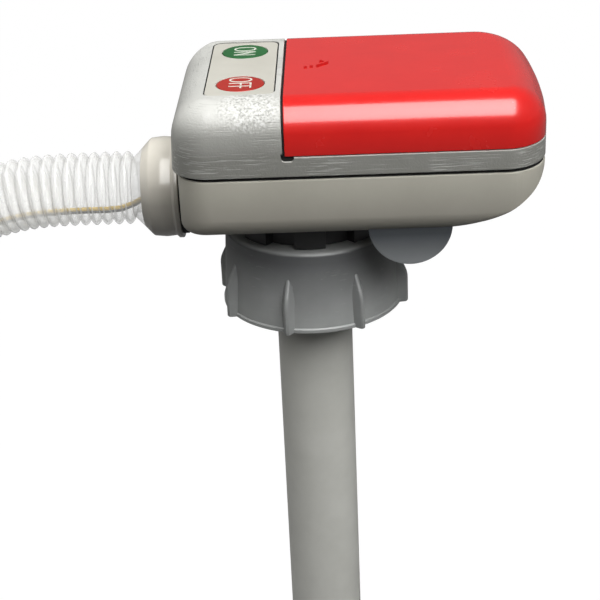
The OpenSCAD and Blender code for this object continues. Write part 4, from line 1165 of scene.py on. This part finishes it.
def makeHose():
    step = hoseLength / hose["ribs"]
    count = hose["ribs"] * hose["perRib"]
    bm = bmesh.new()
    outer, inner = [], []
    for i in range(count + 1):
        s = i * step / hose["perRib"]
        wave = abs(math.sin(math.pi * i / hose["perRib"]))  # round crowns with narrow valleys
        radius = (hose["root"] + (hose["crest"] - hose["root"]) * wave ** hose["crown"]) * mm
        outer.append(bm.verts.new((s, 0, radius)))
        inner.append(bm.verts.new((s, 0, radius - hose["wall"] * mm)))
    closeLoop(bm, outer + inner[::-1])
    spinRound(bm, 1, hose["sides"], (1, 0, 0), use_merge=True)
    fixNormals(bm)
    ribDepth = bm.verts.layers.float.new("ribDepth")
    places = {}
    for v in bm.verts:  # lay the straight tube along the route
        s = round(v.co.x, 7)
        v[ribDepth] = 1 - abs(math.sin(math.pi * s / step))
        if s not in places:
            places[s] = (onHose(s), hoseUp(s))
        centre, up = places[s]
        v.co = centre + up * v.co.z + Vector((0, v.co.y, 0))
    return addPiece("hoseTube", bm, "hoseClear", "pump", ["discharge_hose"], sharp=80)


wires = {"diameter": 1.3, "start": -22.5, "ease": 30.0, "bend": 270.0, "end": -707.0, "bendStops": 60,
    "runStops": 12,
    "upper": {"first": (5.6, -0.95), "lie": (-5.4, -4.8), "last": (-5.2, -0.95)},
    "lower": {"first": (5.6, 0.95), "lie": (-7.1, -3.0), "last": (-6.4, 0.95)}}


def makeWire(name, lay, finish, node):
    # from the gland down to the low side of the hose, and on to the probe
    total = hoseLength / mm + hosePath[-1].z / mm - wires["end"]
    start, bend, bendStops, runStops = (wires[k] for k in ("start", "bend", "bendStops", "runStops"))
    runStart = start + bend
    stops = [start + bend * k / bendStops for k in range(bendStops + 1)]
    stops += [runStart + (total - runStart) * k / runStops for k in range(1, runStops + 1)]
    curve = bpy.data.curves.new(name, "CURVE")
    curve.dimensions = "3D"
    curve.bevel_depth = wires["diameter"] / 2 * mm
    curve.bevel_resolution = 3
    curve.use_fill_caps = True
    spline = curve.splines.new("POLY")
    spline.points.add(len(stops) - 1)
    for point, s in zip(spline.points, stops):
        settled = ease((s - start) / wires["ease"])
        returned = ease((s - runStart) / (total - runStart))
        height, side = (a + (b - a) * settled + (c - b) * returned
            for a, b, c in zip(lay["first"], lay["lie"], lay["last"]))
        place = onHose(s * mm) + hoseUp(s * mm) * height * mm + Vector((0, side, 0)) * mm
        point.co = (*place, 1)
    return addPiece(name, curveShape(name, curve), finish, "pump", [node], sharp=60)


hoseTube = makeHose()
upperWire = makeWire("upperWire", wires["upper"], "wireYellow", "upper_wire")
lowerWire = makeWire("lowerWire", wires["lower"], "wireGrey", "lower_wire")
print("hose laid:", round(hoseLength, 3), "m")

# studio: the softbox is split, one lamp lights and a card near it is only mirrored

studio = {"floorDrop": 4.0, "floorSize": 30.0, "floorTone": (0.15, 0.15, 0.15), "floorGlow": 1.17,
    "floorShare": 0.85, "floorShine": 0.14, "world": 0.07, "mirrored": 0.25}
lamps = {
    "softbox": {"place": (0.45, -0.74, 0.96), "aim": (0.015, 0, 0.03), "size": (1.0, 0.87), "power": 20.5},
    "mirrorCard": {"place": (0.33, -0.67, 1.05), "aim": (0.33, 0, 0.03), "size": (1.06, 1.36), "power": 36.2},
    "sideFill": {"place": (1.2, -0.1, 0.55), "aim": (0.03, 0, 0.04), "size": (0.5, 0.6), "power": 0.9},
    "leftFill": {"place": (-1.2, -0.35, 0.9), "aim": (-0.02, 0, 0.03), "size": (0.7, 0.7), "power": 4.5},
    "backFill": {"place": (-0.7, 0.5, 1.1), "aim": (0.015, 0, 0.03), "size": (1.2, 1.0), "power": 10.8}}


def addLamp(name, spec):
    data = bpy.data.lights.new(name, "AREA")
    data.shape = "RECTANGLE"
    data.size, data.size_y = spec["size"]
    data.energy = spec["power"]
    lamp = newObject(name, data)
    lamp.location = spec["place"]
    lamp.rotation_euler = (Vector(spec["aim"]) - Vector(spec["place"])).to_track_quat("-Z", "Y").to_euler()
    if name == "mirrorCard":
        lamp.visible_diffuse = False
    else:
        lamp.visible_glossy = False


def rayShares(tree, glossy):
    # rays that see a surface or the backdrop, and the given share of those that mirror it
    path = tree.nodes.new("ShaderNodeLightPath").outputs
    seen = mathNode(tree, "MAXIMUM", path["Is Camera Ray"], path["Is Transmission Ray"], clamp=True)
    return seen, times(tree, path["Is Glossy Ray"], glossy)


def makeFloor():
    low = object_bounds()[0].z - studio["floorDrop"] * mm
    bm = bmesh.new()
    bmesh.ops.create_grid(bm, x_segments=1, y_segments=1, size=studio["floorSize"] / 2)
    bmesh.ops.translate(bm, verts=bm.verts[:], vec=(0, 0, low))
    mesh = bpy.data.meshes.new("floor")
    bm.to_mesh(mesh)
    bm.free()
    tree, shader = newMaterial("floorPale", studio["floorTone"], 0.8)
    glow = tree.nodes.new("ShaderNodeEmission")
    glow.inputs["Strength"].default_value = studio["floorGlow"]
    seen, shine = rayShares(tree, studio["floorShine"])
    mixInto(tree, times(tree, mathNode(tree, "MAXIMUM", seen, shine), studio["floorShare"]), shader, glow)
    mesh.materials.append(finishes["floorPale"])
    floor = newObject("floor", mesh)


def makeWorld():
    world = bpy.data.worlds.new("studioWorld")
    bpy.context.scene.world = world
    world.use_nodes = True
    tree = world.node_tree
    sky = tree.nodes["Background"]
    sky.inputs["Color"].default_value = (1, 1, 1, 1)
    seen, shine = rayShares(tree, studio["mirrored"])
    level = mathNode(tree, "MULTIPLY_ADD", seen, 1 - studio["world"], studio["world"])
    tree.links.new(mathNode(tree, "MAXIMUM", level, shine), sky.inputs["Strength"])


makeFloor()
makeWorld()
for name, spec in lamps.items():
    addLamp(name, spec)
bpy.context.scene.view_settings.view_transform = "Standard"
print("studio ready")
